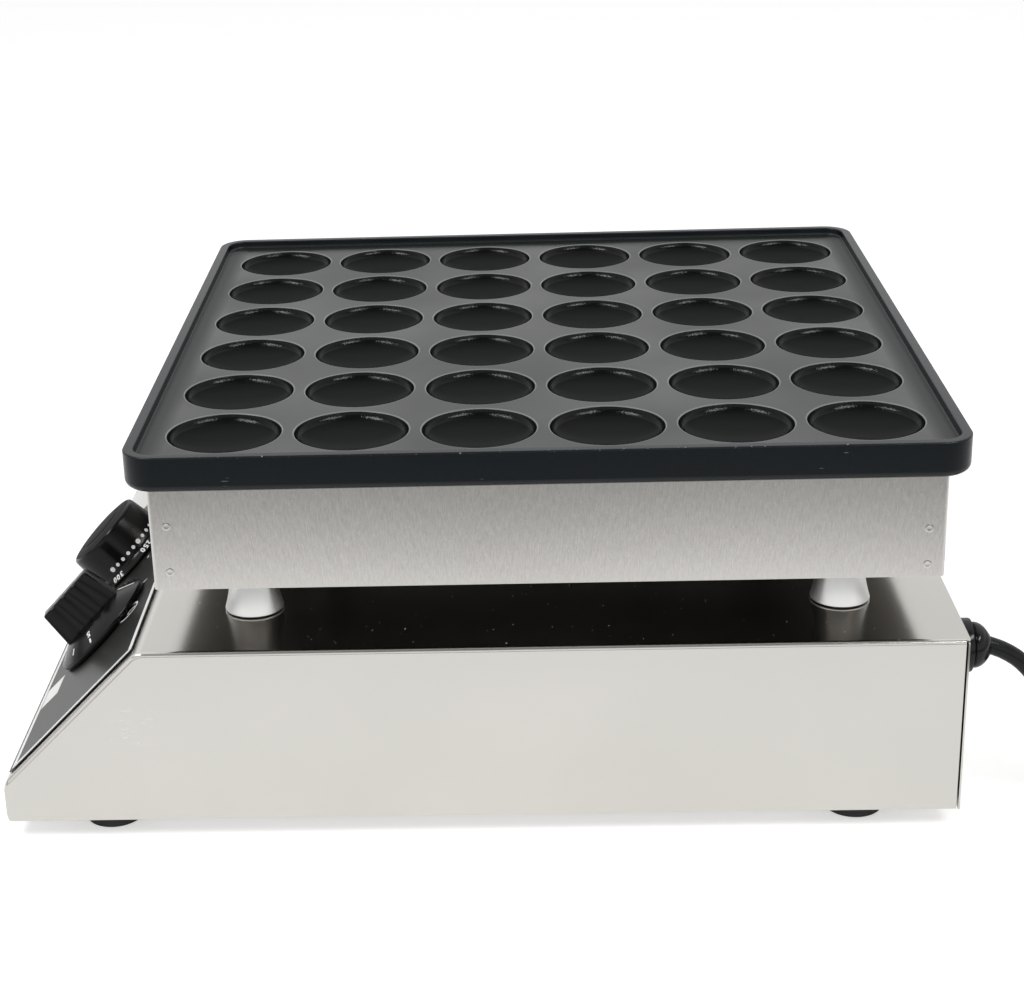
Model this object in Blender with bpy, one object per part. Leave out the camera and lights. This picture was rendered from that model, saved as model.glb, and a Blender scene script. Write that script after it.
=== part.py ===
"""Mini pancake maker: an electric table-top griddle with 36 round wells.

The cast plate and its heater stand on four turned stand-offs above a sheet-steel base with a sloped
control panel. Metres, +Z up. The control panel faces -Y. The origin is on the table, under the middle of
the machine without its lead.
"""

from math import atan2, ceil, cos, hypot, pi, radians, sin, sqrt, tau

import bmesh
import bpy
import numpy as np
from mathutils import Matrix, Vector

for old in list(bpy.data.objects):
    bpy.data.objects.remove(old, do_unlink=True)

# Driving dimensions: the plate and its wells
WELLS_PER_SIDE = 6
WELL_PITCH = 0.050
WELL_R = 0.0225
WELL_DEPTH = 0.007
FIELD_MARGIN = 0.0093  # flat field between the outer wells and the rim
RIM_W = 0.0042
RIM_H = 0.0033
PLATE_T = 0.0112  # from the field down to the underside
PLATE_CORNER_R = 0.013

# Driving dimensions: the stack, from the table up
FOOT_H = 0.008  # table to the underside of the base's sides
BASE_H = 0.0743
STANDOFF_H = 0.0235
HOUSING_H = 0.0434

# Driving dimensions: the base
SLOPE_RUN = 0.0579  # depth of the sloped panel, seen from above
LIP_H = 0.0165
FRONT_REACH = 0.0005  # base top past the plate's front edge
REAR_REACH = 0.0018  # base top past the plate's rear edge
HOUSING_INSET = 0.0083  # plate's overhang past the heater housing

# Driving dimensions: the free lead
CORD_R = 0.0035

# General sizes
SHEET_T = 0.001
BEND_R = 0.0012  # inside radius of a folded sheet
GAP = 0.0003  # between pieces that touch
SEAM = 0.0007  # visible joint between two sheets
OVERRUN = 0.004  # how far a cutter passes the face it cuts
MERGE = 0.000001
WELL_SEGMENTS = 18
ROUND_SEGMENTS = 16
SMALL_SEGMENTS = 12
CORNER_STEPS = 4
BEND_STEPS = 3
SHARP_ANGLE = radians(35)

# Worked out from the driving dimensions
GRID_HALF = (WELLS_PER_SIDE - 1) * WELL_PITCH / 2
PLATE_HALF = GRID_HALF + WELL_R + FIELD_MARGIN + RIM_W
HOUSING_HALF = PLATE_HALF - HOUSING_INSET
BASE_HALF = PLATE_HALF
BASE_DEPTH = SLOPE_RUN + FRONT_REACH + 2 * PLATE_HALF + REAR_REACH
FRONT_Y = -BASE_DEPTH / 2
REAR_Y = BASE_DEPTH / 2
SLOPE_TOP_Y = FRONT_Y + SLOPE_RUN
GRID_Y = SLOPE_TOP_Y + FRONT_REACH + PLATE_HALF
BASE_BOTTOM = FOOT_H
BASE_TOP = BASE_BOTTOM + BASE_H
LIP_TOP = BASE_BOTTOM + LIP_H
SLOPE_RISE = BASE_TOP - LIP_TOP
SLOPE_LENGTH = hypot(SLOPE_RUN, SLOPE_RISE)
SLOPE_ANGLE = atan2(SLOPE_RISE, SLOPE_RUN)
HOUSING_BOTTOM = BASE_TOP + STANDOFF_H
PLATE_BOTTOM = HOUSING_BOTTOM + HOUSING_H
FIELD_Z = PLATE_BOTTOM + PLATE_T

# Looks: colour, roughness, metallic
LOOKS = {
    "non_stick_casting": ((0.035, 0.040, 0.042), 0.45, 0.0),
    "brushed_stainless": ((0.62, 0.61, 0.59), 0.30, 1.0),
    "turned_aluminium": ((0.78, 0.78, 0.77), 0.25, 1.0),
    "zinc_steel": ((0.45, 0.46, 0.47), 0.35, 1.0),
    "element_sheath": ((0.16, 0.17, 0.16), 0.55, 0.6),
    "ceramic_wool": ((0.80, 0.79, 0.75), 0.95, 0.0),
    "panel_print": ((0.05, 0.05, 0.048), 0.38, 0.0),
    "knob_plastic": ((0.016, 0.016, 0.017), 0.42, 0.0),
    "black_rubber": ((0.014, 0.014, 0.015), 0.60, 0.0),
    "cord_sheath": ((0.012, 0.012, 0.013), 0.38, 0.0),
    "green_lens": ((0.03, 0.35, 0.08), 0.20, 0.0),
    "amber_lens": ((0.70, 0.22, 0.02), 0.20, 0.0),
    "white_moulding": ((0.72, 0.72, 0.70), 0.50, 0.0),
    "wire_sleeve": ((0.60, 0.58, 0.52), 0.70, 0.0),
    "pin_metal": ((0.72, 0.70, 0.66), 0.28, 1.0),
}


def make_look(name):
    """A plain principled material for one finish."""
    colour, roughness, metallic = LOOKS[name]
    material = bpy.data.materials.new(name)
    material.use_nodes = True
    shader = material.node_tree.nodes["Principled BSDF"]
    shader.inputs["Base Color"].default_value = (*colour, 1)
    shader.inputs["Roughness"].default_value = roughness
    shader.inputs["Metallic"].default_value = metallic
    material.diffuse_color = (*colour, 1)
    return material


MATERIALS = {name: make_look(name) for name in LOOKS}


def datum(name, location, rotation=(0, 0, 0)):
    """An empty that carries the pieces of one sub-assembly."""
    empty = bpy.data.objects.new(name, None)
    empty.location = location
    empty.rotation_euler = rotation
    bpy.context.scene.collection.objects.link(empty)
    return empty


def place(name, data, look, carrier=None, location=(0, 0, 0), rotation=(0, 0, 0)):
    """Put a mesh or curve in the scene as one named piece."""
    data.materials.append(MATERIALS[look])
    piece = bpy.data.objects.new(name, data)
    piece.parent = carrier
    piece.location = location
    piece.rotation_euler = rotation
    bpy.context.scene.collection.objects.link(piece)
    return piece


def solid(name, bm, look, carrier=None, location=(0, 0, 0), rotation=(0, 0, 0)):
    """Close and orient a bmesh, and place it as one named piece."""
    bmesh.ops.remove_doubles(bm, verts=bm.verts, dist=MERGE)
    bmesh.ops.recalc_face_normals(bm, faces=bm.faces)
    mesh = bpy.data.meshes.new(name)
    bm.to_mesh(mesh)
    bm.free()
    mesh.shade_smooth()
    mesh.set_sharp_from_angle(angle=SHARP_ANGLE)
    return place(name, mesh, look, carrier, location, rotation)


def helper(name, bm, carrier=None, location=(0, 0, 0), rotation=(0, 0, 0)):
    """A cutter, or a shape that a union takes in: not a piece of its own."""
    piece = solid(name, bm, "zinc_steel", carrier, location, rotation)
    piece.hide_render = True
    piece.display_type = "WIRE"
    return piece


def boolean(piece, other, operation):
    """Cut a piece by a helper, or unite it with one."""
    modifier = piece.modifiers.new(other.name, "BOOLEAN")
    modifier.operation = operation
    modifier.solver = "EXACT"
    modifier.object = other


def arc(centre, radius, start, end, steps):
    """Points along an arc, both ends included."""
    angles = [start + (end - start) * i / steps for i in range(steps + 1)]
    return [(centre[0] + radius * cos(a), centre[1] + radius * sin(a)) for a in angles]


def rounded_rectangle(half_a, half_b, radius, steps=CORNER_STEPS):
    """An outline with four round corners, anticlockwise."""
    points = []
    for turn, (side_a, side_b) in enumerate(((1, 1), (-1, 1), (-1, -1), (1, -1))):
        centre = (side_a * (half_a - radius), side_b * (half_b - radius))
        points += arc(centre, radius, turn * pi / 2, (turn + 1) * pi / 2, steps)
    return points


def rectangle(low_a, high_a, low_b, high_b):
    """A plain outline, anticlockwise."""
    return [(low_a, low_b), (high_a, low_b), (high_a, high_b), (low_a, high_b)]


def folded(path, thickness, inside_radius):
    """The outline of a bent sheet whose outer face follows path, with its metal on the left."""
    near, far = [], []
    for i, corner in enumerate(path):
        point = Vector(corner)
        before = (point - Vector(path[i - 1])).normalized() if i else None
        after = (Vector(path[i + 1]) - point).normalized() if i + 1 < len(path) else None
        if before is None or after is None:
            along = after or before
            left = Vector((-along.y, along.x))
            near.append(tuple(point))
            far.append(tuple(point + left * thickness))
            continue
        left_in = Vector((-before.y, before.x))
        left_out = Vector((-after.y, after.x))
        turn = before.cross(after)
        side = 1 if turn > 0 else -1
        radius = inside_radius + (thickness if side > 0 else 0)
        middle = (left_in + left_out) / (1 + left_in.dot(left_out))
        centre = point + side * radius * middle
        start = atan2(-side * left_in.y, -side * left_in.x)
        swept = atan2(turn, before.dot(after))
        near += arc(centre, radius, start, start + swept, BEND_STEPS)
        far += arc(centre, radius - side * thickness, start, start + swept, BEND_STEPS)
    return near + far[::-1]


def prism(outline, low, high, axis, bm=None):
    """A solid with this outline, from low to high along one axis. Adds to bm where one is given."""
    bm = bm or bmesh.new()
    order = {"X": lambda a, b, c: (c, a, b), "Y": lambda a, b, c: (a, c, b), "Z": lambda a, b, c: (a, b, c)}
    spot = order[axis]
    first, last = ([bm.verts.new(spot(a, b, level)) for a, b in outline] for level in (low, high))
    bm.faces.new(first)
    bm.faces.new(last)
    bmesh.ops.bridge_loops(bm, edges=rim_edges(first) + rim_edges(last))
    return bm


def rim_edges(verts):
    """The edges round a ring of vertices."""
    found = [a.link_edges for a in verts]
    return [
        next(e for e in links if e.other_vert(a) is b)
        for links, a, b in zip(found, verts, verts[1:] + verts[:1])
    ]


def block(low, high, bm=None):
    """A box between two corners."""
    outline = rectangle(low[0], high[0], low[1], high[1])
    return prism(outline, low[2], high[2], "Z", bm)


def stacked(rings, hollow=False):
    """A solid through rings of as many points each: capped, or a ring-shaped one where hollow."""
    bm = bmesh.new()
    loops = [[bm.verts.new(point) for point in ring] for ring in rings]
    pairs = list(zip(loops, loops[1:])) + ([(loops[-1], loops[0])] if hollow else [])
    for low, high in pairs:
        for i in range(len(low)):
            j = (i + 1) % len(low)
            bm.faces.new((low[i], low[j], high[j], high[i]))
    if not hollow:
        bm.faces.new(loops[0])
        bm.faces.new(loops[-1])
    return bm


def turned(profile, segments, closed=False, bm=None, at=(0, 0, 0)):
    """A profile of (radius, height) points spun about an upright axis."""
    bm = bm or bmesh.new()
    verts = [bm.verts.new((at[0] + r, at[1], at[2] + z)) for r, z in profile]
    ends = verts[1:] + (verts[:1] if closed else [])
    edges = [bm.edges.new(pair) for pair in zip(verts, ends)]
    bmesh.ops.spin(
        bm, geom=verts + edges, cent=at, axis=(0, 0, 1), angle=tau, steps=segments, use_merge=True
    )
    return bm


def drilled(radius, low, high, at, bm=None, segments=SMALL_SEGMENTS):
    """An upright cylinder, mostly used as a drill."""
    return turned([(0, low), (radius, low), (radius, high), (0, high)], segments, False, bm, at)


def add_copy(bm, shape, matrix):
    """Add one shape to a bmesh, moved by a matrix."""
    bmesh.ops.transform(shape, matrix=matrix, verts=shape.verts)
    mesh = bpy.data.meshes.new("copy")
    shape.to_mesh(mesh)
    shape.free()
    bm.from_mesh(mesh)
    bpy.data.meshes.remove(mesh)


def circle(radius, z):
    """A ring of points for a shank."""
    turns = [i * tau / SMALL_SEGMENTS for i in range(SMALL_SEGMENTS)]
    return [(radius * cos(a), radius * sin(a), z) for a in turns]


def hexagon(across_flats, z):
    """A ring of as many points on a hexagon: its corners and the middles of its sides."""
    reach = (across_flats / sqrt(3), across_flats / 2)
    turns = [i * tau / SMALL_SEGMENTS for i in range(SMALL_SEGMENTS)]
    return [(reach[i % 2] * cos(a), reach[i % 2] * sin(a), z) for i, a in enumerate(turns)]


def smooth_route(points, spacing):
    """Points close together on a smooth curve through a route's own points."""
    route = [np.array(p, float) for p in points]
    steps = [np.linalg.norm(b - a) for a, b in zip(route, route[1:])]
    slopes = [(b - a) / d for a, b, d in zip(route, route[1:], steps)]
    tangents = [slopes[0]]
    for i in range(1, len(route) - 1):
        before, after = steps[i - 1], steps[i]
        tangents.append((slopes[i - 1] * after + slopes[i] * before) / (before + after))
    tangents.append(slopes[-1])
    found = []
    for i, length in enumerate(steps):
        count = max(1, ceil(length / spacing))
        for k in range(count):
            t = k / count
            found.append(
                (2 * t**3 - 3 * t**2 + 1) * route[i]
                + (t**3 - 2 * t**2 + t) * length * tangents[i]
                + (3 * t**2 - 2 * t**3) * route[i + 1]
                + (t**3 - t**2) * length * tangents[i + 1]
            )
    return found + [route[-1]]


def tube(name, points, radius, look, resolution=2, radii=None, carrier=None):
    """A round tube along points, its ends closed."""
    curve = bpy.data.curves.new(name, "CURVE")
    curve.dimensions = "3D"
    curve.bevel_depth = radius
    curve.bevel_resolution = resolution
    curve.use_fill_caps = True
    spline = curve.splines.new("POLY")
    spline.points.add(len(points) - 1)
    spline.points.foreach_set("co", [c for p in points for c in (*p, 1)])
    if radii:
        spline.points.foreach_set("radius", [r / radius for r in radii])
    spline.use_smooth = True
    return place(name, curve, look, carrier)


# The plate's datum is the middle of the field's surface; its pieces hang below it.
plate_datum = datum("plate_datum", (0, GRID_Y, FIELD_Z))

# The panel's datum is the middle of the slope's upper edge, with its z axis out of the panel and its y
# axis up the slope.
panel_datum = datum("panel_datum", (0, SLOPE_TOP_Y, BASE_TOP), (SLOPE_ANGLE, 0, 0))


def on_panel(x, s, h):
    """A place on the panel in the part's own frame: across, down the slope, and out of it."""
    spot = Matrix.Rotation(SLOPE_ANGLE, 4, "X") @ Vector((x, -s, h))
    return spot + Vector((0, SLOPE_TOP_Y, BASE_TOP))


# Baking plate: one casting with a raised rim, a flat field and the wells
PLATE_EDGE_R = 0.003  # round edge all round the underside
RIM_EDGE_R = 0.0006
WELL_WALL_DEPTH = 0.0036
WELL_FLOOR_R = 0.0212  # where the wall meets the dish
DISH_R = 0.014
DISH_DEPTH = 0.0061
STUD_R = 0.003
STUD_X = GRID_HALF - WELL_PITCH / 2
STUD_Y = GRID_HALF - 3 * WELL_PITCH / 2
STUD_HOLE_DEPTH = 0.005


def plate_ring(inset, z):
    """The plate's outline, drawn in by inset."""
    side = PLATE_HALF - inset
    outline = rounded_rectangle(side, side, PLATE_CORNER_R - inset)
    return [(x, y, z) for x, y in outline]


def well_centres():
    """The middles of the wells, from the plate's middle."""
    steps = [i * WELL_PITCH - GRID_HALF for i in range(WELLS_PER_SIDE)]
    return [(x, y) for x in steps for y in steps]


def stud_places():
    """The four clamp studs, between wells."""
    return [(x, y) for x in (-STUD_X, STUD_X) for y in (-STUD_Y, STUD_Y)]


def make_baking_plate():
    under = [
        (PLATE_EDGE_R - out, up - PLATE_T - PLATE_EDGE_R)
        for out, up in arc((0, 2 * PLATE_EDGE_R), PLATE_EDGE_R, -pi / 2, 0, BEND_STEPS)
    ]
    rim = [
        (0, RIM_H - RIM_EDGE_R),
        (RIM_EDGE_R, RIM_H),
        (RIM_W - RIM_EDGE_R, RIM_H),
        (RIM_W, RIM_H - RIM_EDGE_R),
        (RIM_W, 0),
    ]
    casting = stacked([plate_ring(*spot) for spot in under + rim])
    plate = solid("baking_plate", casting, "non_stick_casting", plate_datum)
    profile = [
        (0, -WELL_DEPTH),
        (DISH_R, -DISH_DEPTH),
        (WELL_FLOOR_R, -WELL_WALL_DEPTH),
        (WELL_R, 0),
        (WELL_R, OVERRUN),
        (0, OVERRUN),
    ]
    cutters = bmesh.new()
    for x, y in well_centres():
        turned(profile, WELL_SEGMENTS, False, cutters, (x, y, 0))
    for x, y in stud_places():
        drilled(STUD_R + GAP, -PLATE_T - OVERRUN, STUD_HOLE_DEPTH - PLATE_T, (x, y, 0), cutters)
    boolean(plate, helper("plate_cutters", cutters, plate_datum), "DIFFERENCE")


make_baking_plate()

# Heating element: one tubular heater bent to pass under every column of wells
ELEMENT_R = 0.00425
ELEMENT_WALL_CLEARANCE = 0.006  # rear run to the housing's wall
ELEMENT_RUN_SPACING = 0.004  # rear run to the bends in front of it
ELEMENT_CORNER_R = 0.020
ELEMENT_FRONT_CLEARANCE = 0.012
TERMINAL_CLEARANCE = 0.015
ELEMENT_STEPS = 6
HOUSING_INNER = HOUSING_HALF - SHEET_T
ELEMENT_Z = -PLATE_T - GAP - ELEMENT_R
ELEMENT_LEGS = 6
LEG_PITCH = 2 * GRID_HALF / (ELEMENT_LEGS - 1)
ELEMENT_END_X = LEG_PITCH / 2
ELEMENT_END_Y = -(HOUSING_INNER - TERMINAL_CLEARANCE)


def element_route():
    """Half of the element, from its end at the front to the middle of the rear run, and its mirror."""
    near_x, mid_x, far_x = LEG_PITCH / 2, 3 * LEG_PITCH / 2, 5 * LEG_PITCH / 2
    bend = LEG_PITCH / 2
    rear_run = HOUSING_INNER - ELEMENT_WALL_CLEARANCE - ELEMENT_R
    rear_bend = rear_run - 2 * ELEMENT_R - ELEMENT_RUN_SPACING - bend
    front_bend = -(HOUSING_INNER - ELEMENT_FRONT_CLEARANCE - ELEMENT_R - bend)
    corner = (far_x - ELEMENT_CORNER_R, rear_run - ELEMENT_CORNER_R)
    half = [(near_x, ELEMENT_END_Y)]
    half += arc((near_x + bend, rear_bend), bend, pi, 0, ELEMENT_STEPS)
    half += arc((mid_x + bend, front_bend), bend, pi, tau, ELEMENT_STEPS)
    half += arc(corner, ELEMENT_CORNER_R, 0, pi / 2, BEND_STEPS)
    mirrored = [(-x, y) for x, y in half[::-1]]
    return [(x, y, ELEMENT_Z) for x, y in half + mirrored]


tube("heating_element", element_route(), ELEMENT_R, "element_sheath", carrier=plate_datum)

# Element clamp plate: a flat sheet that presses the element up to the casting, held by four studs
CLAMP_T = 0.0015
CLAMP_MARGIN = 0.005
CLAMP_HALF_X = GRID_HALF + ELEMENT_R + CLAMP_MARGIN
CLAMP_OVERHANG = 0.040  # past the studs, front and rear
CLAMP_HALF_Y = STUD_Y + CLAMP_OVERHANG
CLAMP_CORNER_R = 0.008
CLAMP_TOP = ELEMENT_Z - ELEMENT_R - GAP
STUD_NUT_FLATS = 0.010
STUD_NUT_H = 0.005
STUD_TAIL = 0.002
STUD_NUT_TOP = CLAMP_TOP - CLAMP_T - GAP
STUD_TIP = STUD_NUT_TOP - STUD_NUT_H - STUD_TAIL


def make_element_clamp():
    outline = rounded_rectangle(CLAMP_HALF_X, CLAMP_HALF_Y, CLAMP_CORNER_R)
    sheet = prism(outline, CLAMP_TOP - CLAMP_T, CLAMP_TOP, "Z")
    clamp = solid("element_clamp_plate", sheet, "zinc_steel", plate_datum)
    drills = bmesh.new()
    for x, y in stud_places():
        drilled(STUD_R + GAP, CLAMP_TOP - CLAMP_T - OVERRUN, CLAMP_TOP + OVERRUN, (x, y, 0), drills)
    boolean(clamp, helper("clamp_drills", drills, plate_datum), "DIFFERENCE")
    for number, spot in enumerate(stud_places(), 1):
        rings = [
            circle(STUD_R, STUD_HOLE_DEPTH - PLATE_T - GAP),
            circle(STUD_R, STUD_NUT_TOP),
            hexagon(STUD_NUT_FLATS, STUD_NUT_TOP),
            hexagon(STUD_NUT_FLATS, STUD_NUT_TOP - STUD_NUT_H),
            circle(STUD_R, STUD_NUT_TOP - STUD_NUT_H),
            circle(STUD_R, STUD_TIP),
        ]
        solid(f"clamp_stud_{number}", stacked(rings), "zinc_steel", plate_datum, (*spot, 0))


make_element_clamp()

# Stand-offs: places shared by the cones, their bolts and every hole that they pass
STANDOFF_INSET = 0.0341  # cone's axis to the housing's wall
STANDOFF_PLACE = HOUSING_HALF - STANDOFF_INSET
STANDOFF_R = 0.012
STANDOFF_TOP_R = 0.0087
STANDOFF_STEPS = 4
STANDOFF_FLARE = 1.7  # how quickly the cone's foot spreads
STANDOFF_EDGE = 0.0006
BOLT_R = 0.004
BOLT_FLATS = 0.013
BOLT_HEAD_H = 0.0053
BOLT_TAIL = 0.003
HOUSING_FLOOR_Z = -PLATE_T - HOUSING_H
BASE_TOP_Z = HOUSING_FLOOR_Z - STANDOFF_H


def standoff_places():
    """The four stand-offs, from the plate's middle."""
    return [(x, y) for x in (-STANDOFF_PLACE, STANDOFF_PLACE) for y in (-STANDOFF_PLACE, STANDOFF_PLACE)]


def make_standoffs():
    height = STANDOFF_H - 2 * GAP
    flare = [(STANDOFF_R - STANDOFF_EDGE, 0), (STANDOFF_R, STANDOFF_EDGE)]
    for i in range(1, STANDOFF_STEPS + 1):
        rise = i / STANDOFF_STEPS
        spread = (STANDOFF_R - STANDOFF_TOP_R) * (1 - rise) ** STANDOFF_FLARE
        flare.append((STANDOFF_TOP_R + spread, STANDOFF_EDGE + rise * (height - STANDOFF_EDGE)))
    bore = BOLT_R + GAP
    profile = [(bore, 0)] + flare + [(bore, height)]
    shank_top = HOUSING_FLOOR_Z + SHEET_T + GAP
    shank_low = BASE_TOP_Z - SHEET_T - GAP
    for number, spot in enumerate(standoff_places(), 1):
        cone = turned(profile, ROUND_SEGMENTS, True)
        solid(f"standoff_{number}", cone, "turned_aluminium", plate_datum, (*spot, BASE_TOP_Z + GAP))
        rings = [
            hexagon(BOLT_FLATS, shank_top + BOLT_HEAD_H),
            hexagon(BOLT_FLATS, shank_top),
            circle(BOLT_R, shank_top),
            circle(BOLT_R, shank_low),
            hexagon(BOLT_FLATS, shank_low),
            hexagon(BOLT_FLATS, shank_low - BOLT_HEAD_H),
            circle(BOLT_R, shank_low - BOLT_HEAD_H),
            circle(BOLT_R, shank_low - BOLT_HEAD_H - BOLT_TAIL),
        ]
        solid(f"standoff_bolt_{number}", stacked(rings), "zinc_steel", plate_datum, (*spot, 0))


make_standoffs()

# Wire duct: a collared tube that carries the leads across the open gap
DUCT_Y = -STUD_X
DUCT_R = 0.008
DUCT_BORE_R = 0.0065
DUCT_COLLAR_R = 0.011
DUCT_COLLAR_T = 0.002
DUCT_TAIL = 0.004


def make_wire_duct():
    low = BASE_TOP_Z - SHEET_T - DUCT_TAIL
    high = HOUSING_FLOOR_Z + SHEET_T + DUCT_TAIL
    lower_seat = BASE_TOP_Z + GAP
    upper_seat = HOUSING_FLOOR_Z - GAP
    profile = [
        (DUCT_BORE_R, low),
        (DUCT_R, low),
        (DUCT_R, lower_seat),
        (DUCT_COLLAR_R, lower_seat),
        (DUCT_COLLAR_R, lower_seat + DUCT_COLLAR_T),
        (DUCT_R, lower_seat + DUCT_COLLAR_T),
        (DUCT_R, upper_seat - DUCT_COLLAR_T),
        (DUCT_COLLAR_R, upper_seat - DUCT_COLLAR_T),
        (DUCT_COLLAR_R, upper_seat),
        (DUCT_R, upper_seat),
        (DUCT_R, high),
        (DUCT_BORE_R, high),
    ]
    solid("wire_duct", turned(profile, ROUND_SEGMENTS, True), "zinc_steel", plate_datum, (0, DUCT_Y, 0))


make_wire_duct()

# Heater housing: a four-sided skirt, turned in at the top under the plate, with its weld spots
HOUSING_CORNER_R = 0.0016
HOUSING_FLANGE_W = 0.005
SPOT_R = 0.0017
SPOT_H = 0.0004
SPOT_SEGMENTS = 8
SPOT_INSET = 0.0067
SPOT_Y = HOUSING_HALF - SPOT_INSET
FRONT_SPOTS_UP = (0.0075, 0.0267)  # heights above the housing's lower edge
REAR_SPOTS_UP = (0.0052, 0.0201)


def square_ring(half, radius, z):
    """A square outline with round corners, at one height."""
    return [(x, y, z) for x, y in rounded_rectangle(half, half, radius, BEND_STEPS)]


def make_heater_housing():
    top = -PLATE_T - GAP
    inner_r = HOUSING_CORNER_R - SHEET_T
    opening = HOUSING_HALF - HOUSING_FLANGE_W
    rings = [
        square_ring(HOUSING_HALF, HOUSING_CORNER_R, HOUSING_FLOOR_Z),
        square_ring(HOUSING_HALF, HOUSING_CORNER_R, top),
        square_ring(opening, inner_r, top),
        square_ring(opening, inner_r, top - SHEET_T),
        square_ring(HOUSING_INNER, inner_r, top - SHEET_T),
        square_ring(HOUSING_INNER, inner_r, HOUSING_FLOOR_Z),
    ]
    skirt = stacked(rings, hollow=True)
    housing = solid("heater_housing", skirt, "brushed_stainless", plate_datum)
    profile = [(0, -SHEET_T / 2), (SPOT_R, -SHEET_T / 2), (SPOT_R, 0), (0, SPOT_H)]
    spots = bmesh.new()
    for side in (-1, 1):
        outward = Matrix.Rotation(side * pi / 2, 4, "Y")
        for y, heights in ((-SPOT_Y, FRONT_SPOTS_UP), (SPOT_Y, REAR_SPOTS_UP)):
            for up in heights:
                centre = Matrix.Translation((side * HOUSING_HALF, y, HOUSING_FLOOR_Z + up))
                add_copy(spots, turned(profile, SPOT_SEGMENTS), centre @ outward)
    boolean(housing, helper("housing_spots", spots, plate_datum), "UNION")


make_heater_housing()

# Housing floor: a pan inside the skirt, welded to it through its turned-up edge
PAN_EDGE_DROP = 0.0134  # pan's edge below the plate's underside
PAN_EDGE_H = HOUSING_H - PAN_EDGE_DROP
PAN_HALF = HOUSING_INNER - GAP


def gap_drills(low, high, bolt_r, duct_r):
    """Drills for the four stand-off bolts and the duct."""
    drills = bmesh.new()
    for x, y in standoff_places():
        drilled(bolt_r, low, high, (x, y, 0), drills)
    return drilled(duct_r, low, high, (0, DUCT_Y, 0), drills, ROUND_SEGMENTS)


def make_housing_floor():
    pan_r = HOUSING_CORNER_R - SHEET_T
    wall = PAN_HALF - SHEET_T
    rings = [
        square_ring(PAN_HALF, pan_r, HOUSING_FLOOR_Z),
        square_ring(PAN_HALF, pan_r, HOUSING_FLOOR_Z + PAN_EDGE_H),
        square_ring(wall, pan_r, HOUSING_FLOOR_Z + PAN_EDGE_H),
        square_ring(wall, pan_r, HOUSING_FLOOR_Z + SHEET_T),
    ]
    pan = solid("housing_floor", stacked(rings), "brushed_stainless", plate_datum)
    drills = gap_drills(HOUSING_FLOOR_Z - OVERRUN, HOUSING_FLOOR_Z + OVERRUN, BOLT_R + GAP, DUCT_R + GAP)
    boolean(pan, helper("pan_drills", drills, plate_datum), "DIFFERENCE")


make_housing_floor()

# Insulation mat: ceramic wool that keeps the heat off the base
MAT_STUD_CLEARANCE = 0.0042  # mat to the clamp studs' tips
MAT_LOW = HOUSING_FLOOR_Z + SHEET_T + GAP
MAT_T = STUD_TIP - MAT_STUD_CLEARANCE - MAT_LOW
MAT_EDGE_GAP = 0.0009
MAT_BOLT_HOLE_R = 0.009
MAT_DUCT_HOLE_R = 0.012


def make_insulation_mat():
    high = MAT_LOW + MAT_T
    half = PAN_HALF - SHEET_T - MAT_EDGE_GAP
    slab = block((-half, -half, MAT_LOW), (half, half, high))
    mat = solid("insulation_mat", slab, "ceramic_wool", plate_datum)
    drills = gap_drills(MAT_LOW - OVERRUN, high + OVERRUN, MAT_BOLT_HOLE_R, MAT_DUCT_HOLE_R)
    boolean(mat, helper("mat_drills", drills, plate_datum), "DIFFERENCE")


make_insulation_mat()

# Feet: places shared by the feet, their bolts and every hole that they pass
FOOT_R = 0.012
FOOT_TOP_R = 0.0105
FOOT_EDGE = 0.0008
FOOT_SIDE_INSET = 0.020
FOOT_FRONT_INSET = 0.0404
FOOT_REAR_INSET = 0.0393
FOOT_X = BASE_HALF - FOOT_SIDE_INSET
FOOT_FRONT_Y = FRONT_Y + FOOT_FRONT_INSET
FOOT_REAR_Y = REAR_Y - FOOT_REAR_INSET
FOOT_BOLT_R = 0.0025
FOOT_HEAD_R = 0.0045
FOOT_HEAD_H = 0.0025
FOOT_RECESS_R = 0.0055
FOOT_RECESS_H = 0.0038
FOOT_NUT_FLATS = 0.008
FOOT_NUT_H = 0.004
FLOOR_TOP = BASE_BOTTOM - GAP
FLOOR_LOW = FLOOR_TOP - SHEET_T


def foot_places():
    """The four feet, in the part's frame."""
    return [(x, y) for x in (-FOOT_X, FOOT_X) for y in (FOOT_FRONT_Y, FOOT_REAR_Y)]


def foot_drills(low, high):
    """Drills for the four foot bolts."""
    drills = bmesh.new()
    for x, y in foot_places():
        drilled(FOOT_BOLT_R + GAP, low, high, (x, y, 0), drills)
    return drills


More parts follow.
